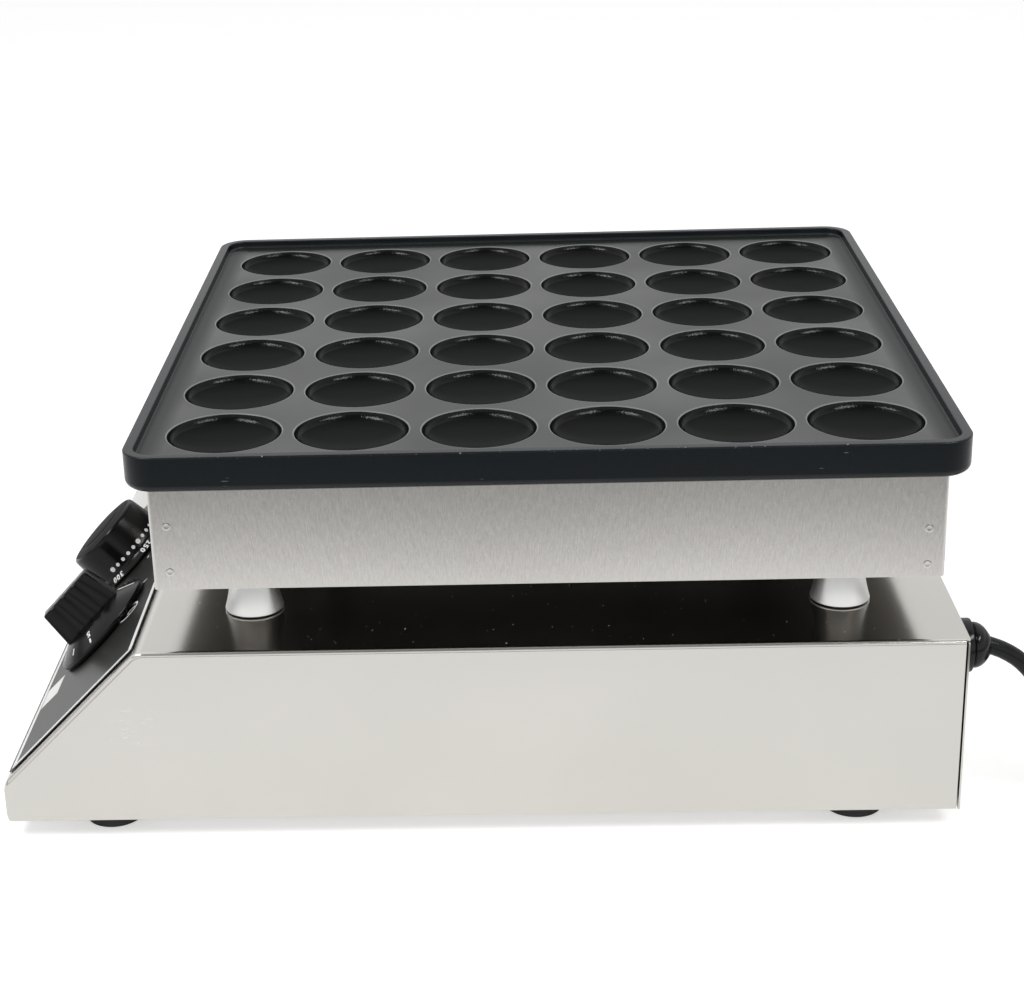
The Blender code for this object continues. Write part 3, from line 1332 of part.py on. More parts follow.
def coil_turns():
    """The coil's turns, as radius, turns so far and height: in on the table, then out again on top."""
    per_turn = COIL_POINTS_A_TURN
    inner_r = COIL_START_R - TURNS_IN * COIL_PITCH
    turns = []
    for i in range(int(TURNS_IN * per_turn)):
        turns.append((COIL_START_R - COIL_PITCH * i / per_turn, i / per_turn, 0))
    half = per_turn // 2
    for i in range(half):
        share = i / half
        climb = COIL_PITCH * (1 - cos(pi * share)) / 2
        dip = COIL_PITCH / 4 * sin(pi * share) ** 2
        turns.append((inner_r - dip, TURNS_IN + share / 2, climb))
    top_turn = TURNS_IN + 1 / 2
    for i in range(int(TURNS_OUT * per_turn) + 1):
        turns.append((inner_r + COIL_PITCH * i / per_turn, top_turn + i / per_turn, COIL_PITCH))
    return turns


def coil_points():
    """The coil's middle line: it starts straight off the lead, and ends level with the plug."""
    points = [(COIL_X + COIL_START_R, COIL_Y - COIL_STRAIGHT, COIL_LIFT)]
    for r, t, z in coil_turns():
        points.append((COIL_X + r * cos(tau * t), COIL_Y + r * sin(tau * t), COIL_LIFT + z))
    x, y, z = points[-1]
    for i in range(1, PLUG_RISE_STEPS + 1):
        share = i / PLUG_RISE_STEPS
        points.append((x - PLUG_RISE_RUN * share, y, z + (PLUG_R - z) * (1 - cos(pi * share)) / 2))
    points.append((points[-1][0] - COIL_STRAIGHT - PLUG_MOUTH_DEPTH + GAP, y, PLUG_R))
    return points


def least_gap(points, diameter, skip):
    """The smallest free distance between parts of a tube that aren't neighbours along it."""
    line = np.array(points)
    apart = [np.linalg.norm(line[i + skip :] - line[i], axis=1).min() for i in range(len(line) - skip)]
    return min(apart) - diameter


def length_of(points):
    """The length of a line of points."""
    return sum(float(np.linalg.norm(np.subtract(b, a))) for a, b in zip(points, points[1:]))


def make_cord_tie():
    outermost = COIL_START_R - COIL_PITCH * TIE_TURNS
    innermost = COIL_START_R - COIL_PITCH * (TURNS_IN - TIE_TURNS)
    low_r = innermost - CORD_R - GAP - TIE_SPARE
    high_r = outermost + CORD_R + GAP + TIE_SPARE
    low_z = TIE_T
    high_z = COIL_LIFT + COIL_PITCH + CORD_R + GAP
    middle_r, middle_z = (low_r + high_r) / 2, (low_z + high_z) / 2
    half_r, half_z = (high_r - low_r) / 2, (high_z - low_z) / 2
    rings = []
    for grow, along in ((0, -1), (TIE_T, -1), (TIE_T, 1), (0, 1)):
        outline = rounded_rectangle(half_r + grow, half_z + grow, CORD_R / 2 + grow)
        rings.append([(middle_r + a, along * TIE_HALF_W, middle_z + b) for a, b in outline])
    turn = (0, 0, tau * TIE_TURNS)
    solid("cord_tie", stacked(rings, hollow=True), "black_rubber", None, (COIL_X, COIL_Y, 0), turn)


def make_plug(back):
    x, y, z = back
    profile = [(0, PLUG_MOUTH_DEPTH), (CORD_R + GAP, PLUG_MOUTH_DEPTH), (CORD_R + GAP, 0)]
    profile += [(r * PLUG_R, along * PLUG_LENGTH) for r, along in PLUG_SHARES]
    face = PLUG_LENGTH
    profile.append((0, face))
    towards_pins = (0, -pi / 2, 0)
    body = solid("plug_body", turned(profile, ROUND_SEGMENTS), "cord_sheath", None, back, towards_pins)
    holes = bmesh.new()
    for number, side in enumerate((-1, 1), 1):
        offset = side * PIN_SPACING / 2
        drilled(PIN_R + GAP, face - PIN_ROOT - GAP, face + OVERRUN, (0, offset, 0), holes)
        pin = [
            (0, face - PIN_ROOT),
            (PIN_R, face - PIN_ROOT),
            (PIN_R, face + PIN_LENGTH - PIN_R / 2),
            (PIN_R / 2, face + PIN_LENGTH),
            (0, face + PIN_LENGTH),
        ]
        spot = (x, y + offset, z)
        solid(f"plug_pin_{number}", turned(pin, SMALL_SEGMENTS), "pin_metal", None, spot, towards_pins)
    boolean(body, helper("plug_holes", holes, None, back, towards_pins), "DIFFERENCE")


def make_free_lead():
    tube("cord_lead", smooth_route(LEAD_ROUTE, FREE_SPACING), CORD_R, "cord_sheath")
    turns = coil_points()
    tube("cord_coil", turns, CORD_R, "cord_sheath", 1)
    make_cord_tie()
    end_x, end_y, end_z = turns[-1]
    make_plug((end_x + PLUG_MOUTH_DEPTH - GAP, end_y, end_z))
    print("free lead", round(length_of(LEAD_ROUTE) + length_of(turns), 3))
    print("coil's least gap to itself", round(least_gap(turns, 2 * CORD_R, COIL_POINTS_A_TURN // 3), 5))


make_free_lead()
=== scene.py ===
"""Mini pancake maker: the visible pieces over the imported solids. Metres, +Z up, panel to -Y, lead to +Y."""

from math import atan2, ceil, cos, hypot, pi, radians, sin, tan, tau

import bmesh
import bpy
from mathutils import Matrix, Vector


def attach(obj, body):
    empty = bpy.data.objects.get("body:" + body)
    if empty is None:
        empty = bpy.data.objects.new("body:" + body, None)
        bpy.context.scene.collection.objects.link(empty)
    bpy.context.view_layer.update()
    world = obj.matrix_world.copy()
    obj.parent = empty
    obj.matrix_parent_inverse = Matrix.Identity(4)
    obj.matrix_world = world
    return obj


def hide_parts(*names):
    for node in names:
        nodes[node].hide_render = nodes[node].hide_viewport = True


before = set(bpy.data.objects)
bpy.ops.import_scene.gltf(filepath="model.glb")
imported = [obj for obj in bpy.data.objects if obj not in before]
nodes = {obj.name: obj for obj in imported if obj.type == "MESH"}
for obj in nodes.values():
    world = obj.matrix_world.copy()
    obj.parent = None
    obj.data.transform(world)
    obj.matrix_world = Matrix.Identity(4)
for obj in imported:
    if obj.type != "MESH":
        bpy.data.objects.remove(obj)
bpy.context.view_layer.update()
bpy.ops.object.select_all(action="DESELECT")

# Camera: beside the machine's long side, looking down on the plate at about 21 degrees, with a long lens.
# The shift is the picture's own framing.
CAMERA_PLACE = (0.88842, 0.018675, 0.43582)
CAMERA_YAW, CAMERA_PITCH, CAMERA_ROLL = -0.04002, 0.369657, -0.033948
LENS = 73.067
PICTURE_SHIFT = (0.06837, -0.01849)
flat = cos(CAMERA_PITCH)
ahead = Vector((-cos(CAMERA_YAW) * flat, sin(CAMERA_YAW) * flat, -sin(CAMERA_PITCH)))
level = Vector((sin(CAMERA_YAW), cos(CAMERA_YAW), 0))
rise = level.cross(ahead)
right = level * cos(CAMERA_ROLL) + rise * sin(CAMERA_ROLL)
top = rise * cos(CAMERA_ROLL) - level * sin(CAMERA_ROLL)
bpy.ops.object.camera_add()
camera = bpy.context.object
camera.matrix_world = Matrix.Translation(CAMERA_PLACE) @ Matrix((right, top, -ahead)).transposed().to_4x4()
camera.data.sensor_width = 36
camera.data.lens = LENS
camera.data.shift_x, camera.data.shift_y = PICTURE_SHIFT
camera.data.clip_end = 50
bpy.context.scene.camera = camera

# Baking plate: an aluminium casting, machined flat on top, with 36 dished wells inside a low rim. Every edge
# is rounded by the mould, and the whole is sprayed with a dark non-stick coating.
PLATE_Y = 0.0283
PLATE_HALF = 0.161
PLATE_LOW, FIELD_Z, RIM_TOP = 0.1492, 0.1604, 0.1637
PLATE_CORNER_R = 0.013
UNDER_EDGE_R = 0.003
RIM_W = 0.0042
RIM_EDGE_R = 0.0006
FIELD_EDGE_R = 0.0009
WELL_PITCH = 0.050
WELLS_PER_SIDE = 6
WELL_SEGMENTS = 72
WELL_R = 0.0225
LIP_RING_R, LIP_RING_HALF_W = 0.0228, 0.00026
FLAT = 1e-5  # an edge this near a height lies at it
WELL_RINGS = [  # radius, height from the field: from the middle of the dish out over the lip
    (0.0005, -0.0070),
    (0.0040, -0.00693),
    (0.0080, -0.00668),
    (0.0110, -0.00632),
    (0.0140, -0.00577),
    (0.0165, -0.00510),
    (0.0183, -0.00445),
    (0.0197, -0.00375),
    (0.0207, -0.00305),
    (0.0214, -0.00235),
    (0.0219, -0.00165),
    (0.0222, -0.0010),
    (0.02235, -0.0005),
    (0.0225, -0.0003),
    (0.02275, -0.0001),
    (0.0230, 0.0001),
    (0.0236, 0.0010),
]


def tone(code):
    """An sRGB hex colour as the linear values that a shader takes."""
    parts = [int(code[i : i + 2], 16) / 255 for i in (1, 3, 5)]
    return [c / 12.92 if c <= 0.04045 else ((c + 0.055) / 1.055) ** 2.4 for c in parts] + [1]


def add_node(tree, kind, settings=None, inputs=None):
    """Add a node. Each input is a value, or an output of another node to link to it."""
    node = tree.nodes.new(kind)
    for name, value in (settings or {}).items():
        setattr(node, name, value)
    for name, value in (inputs or {}).items():
        if isinstance(value, bpy.types.NodeSocket):
            tree.links.new(value, node.inputs[name])
        else:
            node.inputs[name].default_value = value
    return node


def new_finish(name, sockets):
    """A material whose fixed values sit on its own shader. Gives the material, its tree and the shader."""
    finish = bpy.data.materials.new(name)
    finish.use_nodes = True
    shader = finish.node_tree.nodes["Principled BSDF"]
    for socket, value in sockets.items():
        shader.inputs[socket].default_value = value
    return finish, finish.node_tree, shader


def pick(kind, test):
    """In edit mode, select only the VERT, EDGE or FACE elements that pass a test."""
    bpy.ops.mesh.select_mode(type=kind)
    bpy.ops.mesh.select_all(action="DESELECT")
    mesh = bpy.context.edit_object.data
    shape = bmesh.from_edit_mesh(mesh)
    for element in {"VERT": shape.verts, "EDGE": shape.edges, "FACE": shape.faces}[kind]:
        if test(element):
            element.select_set(True)
    bmesh.update_edit_mesh(mesh)


def middle(element):
    """The mean place of an edge's or a face's corners."""
    return sum((v.co for v in element.verts), Vector()) / len(element.verts)


def box_primitive(name, low, high):
    """A cube primitive at its size and place, opened in edit mode."""
    bpy.ops.object.select_all(action="DESELECT")
    place = [(a + b) / 2 for a, b in zip(low, high)]
    size = [b - a for a, b in zip(low, high)]
    bpy.ops.mesh.primitive_cube_add(size=1, location=place, scale=size)
    bpy.ops.object.transform_apply()
    piece = bpy.context.object
    piece.name = piece.data.name = name
    bpy.ops.object.mode_set(mode="EDIT")
    return piece


def turned_piece(name, rings, segments, ends="closed"):
    """As on a lathe, about Z: a ring is extruded and scaled from one (radius, height) to the next. Its ends
    are closed by flat faces, joined by a bore, or left as they are where the last ring is the pole."""
    bpy.ops.object.select_all(action="DESELECT")
    bpy.ops.mesh.primitive_circle_add(vertices=segments, radius=rings[0][0], location=(0, 0, rings[0][1]))
    bpy.ops.object.transform_apply()
    piece = bpy.context.object
    piece.name = piece.data.name = name
    bpy.ops.object.mode_set(mode="EDIT")
    bpy.ops.mesh.select_mode(type="VERT")
    bpy.ops.mesh.select_all(action="SELECT")
    for (r, z), (next_r, next_z) in zip(rings, rings[1:]):
        bpy.ops.mesh.extrude_region_move(TRANSFORM_OT_translate={"value": (0, 0, next_z - z)})
        scale = max(next_r, 1e-5) / r
        bpy.ops.transform.resize(value=(scale, scale, 1), center_override=(0, 0, next_z))
    if rings[-1][0] == 0:
        bpy.ops.mesh.merge(type="CENTER")
    bpy.ops.mesh.select_mode(type="EDGE")
    if ends == "bored":
        bpy.ops.mesh.select_all(action="DESELECT")
        bpy.ops.mesh.select_non_manifold()
        bpy.ops.mesh.bridge_edge_loops()
    else:
        bpy.ops.mesh.select_all(action="SELECT")
        bpy.ops.mesh.fill_holes(sides=0)
    bpy.ops.mesh.select_all(action="SELECT")
    bpy.ops.mesh.normals_make_consistent(inside=False)
    bpy.ops.object.mode_set(mode="OBJECT")
    return piece


def apply_modifier(piece, kind, settings):
    """Add a modifier to a piece and apply it."""
    bpy.context.view_layer.objects.active = piece
    modifier = piece.modifiers.new(kind, kind)
    for name, value in settings.items():
        setattr(modifier, name, value)
    bpy.ops.object.modifier_apply(modifier=modifier.name)


def smooth_faces(piece, degrees=30):
    """Smooth shading, with corners over this angle left sharp."""
    bpy.ops.object.select_all(action="DESELECT")
    piece.select_set(True)
    bpy.context.view_layer.objects.active = piece
    bpy.ops.object.shade_smooth_by_angle(angle=radians(degrees))


def smooth_flats(piece, degrees):
    """Smooth shading that leaves the flats between the rounds flat."""
    smooth_faces(piece, degrees)
    apply_modifier(piece, "WEIGHTED_NORMAL", {"keep_sharp": True, "weight": 80})


well_cutter = turned_piece("well_cutter", WELL_RINGS, WELL_SEGMENTS)
first_well = -WELL_PITCH * (WELLS_PER_SIDE - 1) / 2
well_cutter.location = (first_well, PLATE_Y + first_well, FIELD_Z)
bpy.ops.object.transform_apply()
for axis in range(2):
    step = [0, 0, 0]
    step[axis] = WELL_PITCH
    array = {"count": WELLS_PER_SIDE, "use_relative_offset": False, "use_constant_offset": True}
    apply_modifier(well_cutter, "ARRAY", array | {"constant_offset_displace": step})

casting = box_primitive(
    "plate_casting",
    (-PLATE_HALF, PLATE_Y - PLATE_HALF, PLATE_LOW),
    (PLATE_HALF, PLATE_Y + PLATE_HALF, RIM_TOP),
)
pick("EDGE", lambda e: abs(e.verts[0].co.z - e.verts[1].co.z) > FLAT)
bpy.ops.mesh.bevel(offset=PLATE_CORNER_R, segments=12, affect="EDGES")
pick("FACE", lambda f: f.normal.z > 0.9)
bpy.ops.mesh.inset(thickness=RIM_W)
bpy.ops.mesh.extrude_region_move(TRANSFORM_OT_translate={"value": (0, 0, FIELD_Z - RIM_TOP)})
pick("EDGE", lambda e: abs(middle(e).z - FIELD_Z) < FLAT)
bpy.ops.mesh.bevel(offset=FIELD_EDGE_R, segments=4, affect="EDGES")
pick(
    "EDGE", lambda e: abs(middle(e).z - RIM_TOP) < FLAT and len({f.normal.z > 0.9 for f in e.link_faces}) > 1
)
bpy.ops.mesh.bevel(offset=RIM_EDGE_R, segments=4, affect="EDGES")
pick("EDGE", lambda e: abs(middle(e).z - PLATE_LOW) < FLAT)
bpy.ops.mesh.bevel(offset=UNDER_EDGE_R, segments=6, affect="EDGES")
bpy.ops.object.mode_set(mode="OBJECT")
apply_modifier(casting, "BOOLEAN", {"operation": "DIFFERENCE", "solver": "EXACT", "object": well_cutter})
bpy.data.objects.remove(well_cutter)
smooth_flats(casting, 40)


def from_middle(tree, place):
    """How far a point of the plate lies from its middle, along X, along Y, and the greater of the two."""
    side_y = add_node(tree, "ShaderNodeMath", {"operation": "SUBTRACT"}, {0: place.outputs["Y"], 1: PLATE_Y})
    far_y = add_node(tree, "ShaderNodeMath", {"operation": "ABSOLUTE"}, {0: side_y.outputs[0]})
    far_x = add_node(tree, "ShaderNodeMath", {"operation": "ABSOLUTE"}, {0: place.outputs["X"]})
    far = add_node(
        tree, "ShaderNodeMath", {"operation": "MAXIMUM"}, {0: far_x.outputs[0], 1: far_y.outputs[0]}
    )
    return far_x, far_y, far


# PTFE coating over a grit-blasted casting, as it is on the rim and the sides: blue-black, with a soft gloss
# and a fine orange peel. Knocks have chipped the top edge and scratched the sides down to the metal.
edge_coat, tree, shader = new_finish("sprayed_non_stick_coating", {"IOR": 1.36})
spot = add_node(tree, "ShaderNodeTexCoord").outputs["Object"]
place = add_node(tree, "ShaderNodeSeparateXYZ", {}, {"Vector": spot})
grit = add_node(tree, "ShaderNodeTexNoise", {}, {"Vector": spot, "Scale": 1 / 0.0008, "Detail": 2})
rough = add_node(tree, "ShaderNodeMapRange", {}, {"Value": grit.outputs[0], "To Min": 0.2, "To Max": 0.3})
*_, far = from_middle(tree, place)
on_side = add_node(
    tree, "ShaderNodeMath", {"operation": "GREATER_THAN"}, {0: far.outputs[0], 1: PLATE_HALF - 0.0004}
)
on_edge = add_node(
    tree,
    "ShaderNodeMapRange",
    {},
    {"Value": far.outputs[0], "From Min": PLATE_HALF - 0.0012, "From Max": PLATE_HALF - 0.0005},
)
on_top = add_node(
    tree,
    "ShaderNodeMapRange",
    {},
    {"Value": place.outputs["Z"], "From Min": RIM_TOP - 0.0008, "From Max": RIM_TOP - 0.0004},
)
edge = add_node(
    tree, "ShaderNodeMath", {"operation": "MULTIPLY"}, {0: on_edge.outputs[0], 1: on_top.outputs[0]}
)
chips = add_node(tree, "ShaderNodeTexNoise", {}, {"Vector": spot, "Scale": 1 / 0.0014, "Detail": 3})
chip = add_node(
    tree, "ShaderNodeMapRange", {}, {"Value": chips.outputs[0], "From Min": 0.66, "From Max": 0.72}
)
chipped = add_node(
    tree, "ShaderNodeMath", {"operation": "MULTIPLY"}, {0: edge.outputs[0], 1: chip.outputs[0]}
)
along = add_node(tree, "ShaderNodeMapping", {}, {"Vector": spot, "Scale": (1 / 0.008, 1 / 0.008, 1 / 0.0006)})
marks = add_node(tree, "ShaderNodeTexNoise", {}, {"Vector": along.outputs[0], "Scale": 1, "Detail": 1})
mark = add_node(
    tree, "ShaderNodeMapRange", {}, {"Value": marks.outputs[0], "From Min": 0.79, "From Max": 0.83}
)
scratched = add_node(
    tree, "ShaderNodeMath", {"operation": "MULTIPLY"}, {0: on_side.outputs[0], 1: mark.outputs[0]}
)
bare = add_node(
    tree, "ShaderNodeMath", {"operation": "MAXIMUM"}, {0: chipped.outputs[0], 1: scratched.outputs[0]}
)
coat_colour = add_node(
    tree,
    "ShaderNodeMix",
    {"data_type": "RGBA"},
    {"Factor": grit.outputs[0], "A": tone("#070b0e"), "B": tone("#11171b")},
)
colour = add_node(
    tree,
    "ShaderNodeMix",
    {"data_type": "RGBA"},
    {"Factor": bare.outputs[0], "A": coat_colour.outputs["Result"], "B": tone("#8f9394")},
)
peel = add_node(tree, "ShaderNodeBump", {}, {"Height": grit.outputs[0], "Strength": 0.5, "Distance": 0.00008})
tree.links.new(colour.outputs["Result"], shader.inputs["Base Color"])
tree.links.new(rough.outputs[0], shader.inputs["Roughness"])
tree.links.new(peel.outputs[0], shader.inputs["Normal"])
casting.data.materials.append(edge_coat)

# The same coating on the field, dulled to a satin grey by use and cleaning. Scrapers have polished it in
# patches. A light grey ring is painted round each well's lip, partly worn coating and partly a painted
# highlight of the rounded lip. The margins along the long sides have kept their gloss, and those at the
# panel's end and the lead's end are rubbed quite matt.
GLOSSY_MARGIN = (0.147, 0.153)
MATT_MARGIN = (0.146, 0.152)
field_coat, tree, shader = new_finish("dulled_non_stick_coating", {"IOR": 1.65})
spot = add_node(tree, "ShaderNodeTexCoord").outputs["Object"]
place = add_node(tree, "ShaderNodeSeparateXYZ", {}, {"Vector": spot})
grit = add_node(tree, "ShaderNodeTexNoise", {}, {"Vector": spot, "Scale": 1 / 0.0008, "Detail": 2})
patches = add_node(
    tree, "ShaderNodeTexNoise", {}, {"Vector": spot, "Scale": 1 / 0.060, "Detail": 3, "Roughness": 0.4}
)
dulled = add_node(
    tree,
    "ShaderNodeMapRange",
    {},
    {"Value": patches.outputs[0], "From Min": 0.2, "From Max": 0.8, "To Min": 0.24, "To Max": 0.46},
)
pitch = add_node(
    tree,
    "ShaderNodeMapping",
    {"vector_type": "TEXTURE"},
    {"Vector": spot, "Location": (0, PLATE_Y, 0), "Scale": (WELL_PITCH, WELL_PITCH, 1e6)},
)
cell = add_node(tree, "ShaderNodeVectorMath", {"operation": "FRACTION"}, {0: pitch.outputs[0]})
offset = add_node(
    tree, "ShaderNodeVectorMath", {"operation": "SUBTRACT"}, {0: cell.outputs[0], 1: (0.5, 0.5, 0)}
)
out = add_node(tree, "ShaderNodeVectorMath", {"operation": "LENGTH"}, {0: offset.outputs[0]})
ring = add_node(
    tree,
    "ShaderNodeMath",
    {"operation": "COMPARE"},
    {0: out.outputs["Value"], 1: LIP_RING_R / WELL_PITCH, 2: LIP_RING_HALF_W / WELL_PITCH},
)
far_x, far_y, far = from_middle(tree, place)
by_well = add_node(
    tree,
    "ShaderNodeMath",
    {"operation": "LESS_THAN"},
    {0: far.outputs[0], 1: WELL_PITCH * WELLS_PER_SIDE / 2},
)
# Where the lip ring is painted light: worn coating and a painted highlight of the rounded lip.
lip_ring_wear_and_highlight = add_node(
    tree, "ShaderNodeMath", {"operation": "MULTIPLY"}, {0: ring.outputs[0], 1: by_well.outputs[0]}
)
coat_colour = add_node(
    tree,
    "ShaderNodeMix",
    {"data_type": "RGBA"},
    {"Factor": grit.outputs[0], "A": tone("#10140f"), "B": tone("#1f2422")},
)
# The light grey is the lip ring's colour: worn coating and a painted highlight of the rounded lip.
colour = add_node(
    tree,
    "ShaderNodeMix",
    {"data_type": "RGBA"},
    {"Factor": lip_ring_wear_and_highlight.outputs[0], "A": coat_colour.outputs["Result"], "B": tone("#6f7473")},
)
peel = add_node(
    tree, "ShaderNodeBump", {}, {"Height": grit.outputs[0], "Strength": 0.35, "Distance": 0.00006}
)
tree.links.new(colour.outputs["Result"], shader.inputs["Base Color"])
glossy = add_node(
    tree,
    "ShaderNodeMapRange",
    {},
    {"Value": far_x.outputs[0], "From Min": GLOSSY_MARGIN[0], "From Max": GLOSSY_MARGIN[1]},
)
matt = add_node(
    tree,
    "ShaderNodeMapRange",
    {},
    {"Value": far_y.outputs[0], "From Min": MATT_MARGIN[0], "From Max": MATT_MARGIN[1]},
)
rough = add_node(tree, "ShaderNodeMix", {}, {"Factor": matt.outputs[0], "A": dulled.outputs[0], "B": 0.62})
rough = add_node(tree, "ShaderNodeMix", {}, {"Factor": glossy.outputs[0], "A": rough.outputs[0], "B": 0.15})
tree.links.new(rough.outputs[0], shader.inputs["Roughness"])
tree.links.new(peel.outputs[0], shader.inputs["Normal"])
casting.data.materials.append(field_coat)

# Inside the wells cakes keep the coating black and matt, under a thin gloss of oil. The oil lies thicker and
# pitted on the steep wall, where it sparkles in the lamps, and is wiped smooth on the floor.
OILED = {"Roughness": 0.9, "Specular IOR Level": 0.0, "Coat Roughness": 0.15}
WELL_WALL_LOW = -0.0032


def mottled_finish(name, sockets, tones, grain, detail, roughness=None):
    """A finish that wanders between two tones, and two degrees of roughness where they are given, in patches
    about as wide as its grain, in metres. Gives the material, its tree, the shader and the patches' noise."""
    finish, tree, shader = new_finish(name, sockets)
    spot = add_node(tree, "ShaderNodeTexCoord").outputs["Object"]
    noise = add_node(tree, "ShaderNodeTexNoise", {}, {"Vector": spot, "Scale": 1 / grain, "Detail": detail})
    blend = {"Factor": noise.outputs[0], "A": tone(tones[0]), "B": tone(tones[1])}
    colour = add_node(tree, "ShaderNodeMix", {"data_type": "RGBA"}, blend)
    tree.links.new(colour.outputs["Result"], shader.inputs["Base Color"])
    if roughness:
        spread = {"Value": noise.outputs[0], "To Min": roughness[0], "To Max": roughness[1]}
        rough = add_node(tree, "ShaderNodeMapRange", {}, spread)
        tree.links.new(rough.outputs[0], shader.inputs["Roughness"])
    return finish, tree, shader, noise


for name, oil, strength in (("oil_pitted_coating", 0.38, 0.7), ("oil_wiped_coating", 0.2, 0.25)):
    well_coat, tree, shader, pits = mottled_finish(
        name, OILED | {"Coat Weight": oil}, ("#040505", "#0a0b0b"), grain=0.0009, detail=3
    )
    pitted = add_node(
        tree, "ShaderNodeBump", {}, {"Height": pits.outputs[0], "Strength": strength, "Distance": 0.00016}
    )
    tree.links.new(pitted.outputs[0], shader.inputs["Normal"])
    tree.links.new(pitted.outputs[0], shader.inputs["Coat Normal"])
    casting.data.materials.append(well_coat)
FIELD_COAT, WALL_COAT, FLOOR_COAT = 1, 2, 3  # their places among the casting's materials
for face in casting.data.polygons:
    height = face.center.z - FIELD_Z
    across = [((face.center[axis] - (0, PLATE_Y)[axis]) / WELL_PITCH) % 1 - 0.5 for axis in (0, 1)]
    if PLATE_LOW + 0.001 < face.center.z and height < -0.0003 and WELL_PITCH * hypot(*across) < WELL_R:
        face.material_index = WALL_COAT if height > WELL_WALL_LOW else FLOOR_COAT
    elif abs(height) < 0.0003:
        face.material_index = FIELD_COAT
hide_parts("baking_plate")
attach(casting, "machine")

# Heater: a mineral-filled tube bent under the wells, pressed up by a zinc-plated sheet on four studs, over a
# mat of ceramic wool in the pan. The tube's steel sheath has scaled in the heat, which leaves it blotched
# grey and brown, with little shine.
oxide, *_ = mottled_finish(
    "heat_oxidised_heater_sheath",
    {"Metallic": 0.6},
    ("#3a3d38", "#6a675c"),
    grain=0.012,
    detail=4,
    roughness=(0.45, 0.7),
)
nodes["heating_element"].data.materials[0] = oxide

# Bright zinc plate on steel: a cool grey metal with a clouded shine.
zinc, *_ = mottled_finish(
    "zinc_plated_steel",
    {"Metallic": 1.0},
    ("#aeb2b6", "#c6c7c4"),
    grain=0.004,
    detail=3,
    roughness=(0.26, 0.42),
)
zinc_names = ["element_clamp_plate", "wire_duct", "timer_body"]
zinc_names += [f"{control}_{part}" for control in ("thermostat", "timer") for part in ("spindle", "nut")]
for kind in ("clamp_stud", "standoff_bolt", "foot_bolt", "rear_screw"):
    zinc_names += [f"{kind}_{number}" for number in range(1, 5)]
for name in zinc_names:
    nodes[name].data.materials[0] = zinc

# Ceramic wool, felted from short fibres: off-white and quite matt, with a fluffy face.
wool, tree, shader = new_finish("ceramic_wool", {"Roughness": 0.95})
spot = add_node(tree, "ShaderNodeTexCoord").outputs["Object"]
fibre = add_node(
    tree, "ShaderNodeTexNoise", {}, {"Vector": spot, "Scale": 1 / 0.002, "Detail": 6, "Roughness": 0.7}
)
colour = add_node(
    tree,
    "ShaderNodeMix",
    {"data_type": "RGBA"},
    {"Factor": fibre.outputs[0], "A": tone("#cfccc2"), "B": tone("#f0eee6")},
)
tree.links.new(colour.outputs["Result"], shader.inputs["Base Color"])
felt = add_node(tree, "ShaderNodeBump", {}, {"Height": fibre.outputs[0], "Distance": 0.0008})
tree.links.new(felt.outputs[0], shader.inputs["Normal"])
nodes["insulation_mat"].data.materials[0] = wool

# Heater housing: a stainless skirt round the heater, bent at its four corners and spot-welded to the pan
# inside it. The sheet is brushed upright, and each weld stands out as a faint ring.
HOUSING_HALF = 0.1527
HOUSING_LOW = 0.1058
HOUSING_TOP = PLATE_LOW - 0.0003
HOUSING_CORNER_R = 0.0016
HOUSING_FLANGE_W = 0.005
SHEET_T = 0.001
WELD_INSET = 0.0067
FRONT_WELDS_UP = (0.0075, 0.0267)
REAR_WELDS_UP = (0.0052, 0.0201)
SKIRT_EDGE_R = 0.00015
WELD_RINGS = [  # radius, height from the sheet's outer face
    (0.0018, -0.0002),
    (0.0017, 0.00001),
    (0.0015, 0.00004),
    (0.0012, 0.00006),
    (0.0009, 0.00004),
    (0.0005, 0.00002),
    (0, 0.00001),
]


def thicken_sheet(piece, edge_r):
    """Give a bent sheet its thickness, inwards, and break its cut edges."""
    apply_modifier(piece, "SOLIDIFY", {"thickness": SHEET_T, "offset": -1, "use_even_offset": True})
    broken = {"segments": 2, "limit_method": "ANGLE", "angle_limit": radians(50)}
    apply_modifier(piece, "BEVEL", broken | {"width": edge_r})


skirt = box_primitive(
    "housing_skirt",
    (-HOUSING_HALF, PLATE_Y - HOUSING_HALF, HOUSING_LOW),
    (HOUSING_HALF, PLATE_Y + HOUSING_HALF, HOUSING_TOP),
)
pick("EDGE", lambda e: abs(e.verts[0].co.z - e.verts[1].co.z) > FLAT)
bpy.ops.mesh.bevel(offset=HOUSING_CORNER_R, segments=5, affect="EDGES")
pick("FACE", lambda f: f.normal.z > 0.9)
bpy.ops.mesh.inset(thickness=HOUSING_FLANGE_W)
bpy.ops.mesh.delete(type="FACE")
pick("FACE", lambda f: f.normal.z < -0.9)
bpy.ops.mesh.delete(type="FACE")
bpy.ops.object.mode_set(mode="OBJECT")
thicken_sheet(skirt, SKIRT_EDGE_R)
smooth_flats(skirt, 35)


def copy_piece(piece, name):
    """A copy with a mesh of its own."""
    bpy.ops.object.select_all(action="DESELECT")
    piece.select_set(True)
    bpy.context.view_layer.objects.active = piece
    bpy.ops.object.duplicate()
    copy = bpy.context.object
    copy.name = copy.data.name = name
    return copy


weld = turned_piece("weld", WELD_RINGS, 24)
smooth_faces(weld)
welds = []
for side in (-1, 1):
    for end, heights in ((-1, FRONT_WELDS_UP), (1, REAR_WELDS_UP)):
        for up in heights:
            place = (side * HOUSING_HALF, PLATE_Y + end * (HOUSING_HALF - WELD_INSET), HOUSING_LOW + up)
            welds.append(copy_piece(weld, "weld_ring"))
            welds[-1].matrix_world = Matrix.Translation(place) @ Matrix.Rotation(side * pi / 2, 4, "Y")
            bpy.ops.object.transform_apply()
bpy.data.objects.remove(weld)
for piece in welds + [skirt]:
    piece.select_set(True)
bpy.context.view_layer.objects.active = skirt
bpy.ops.object.join()

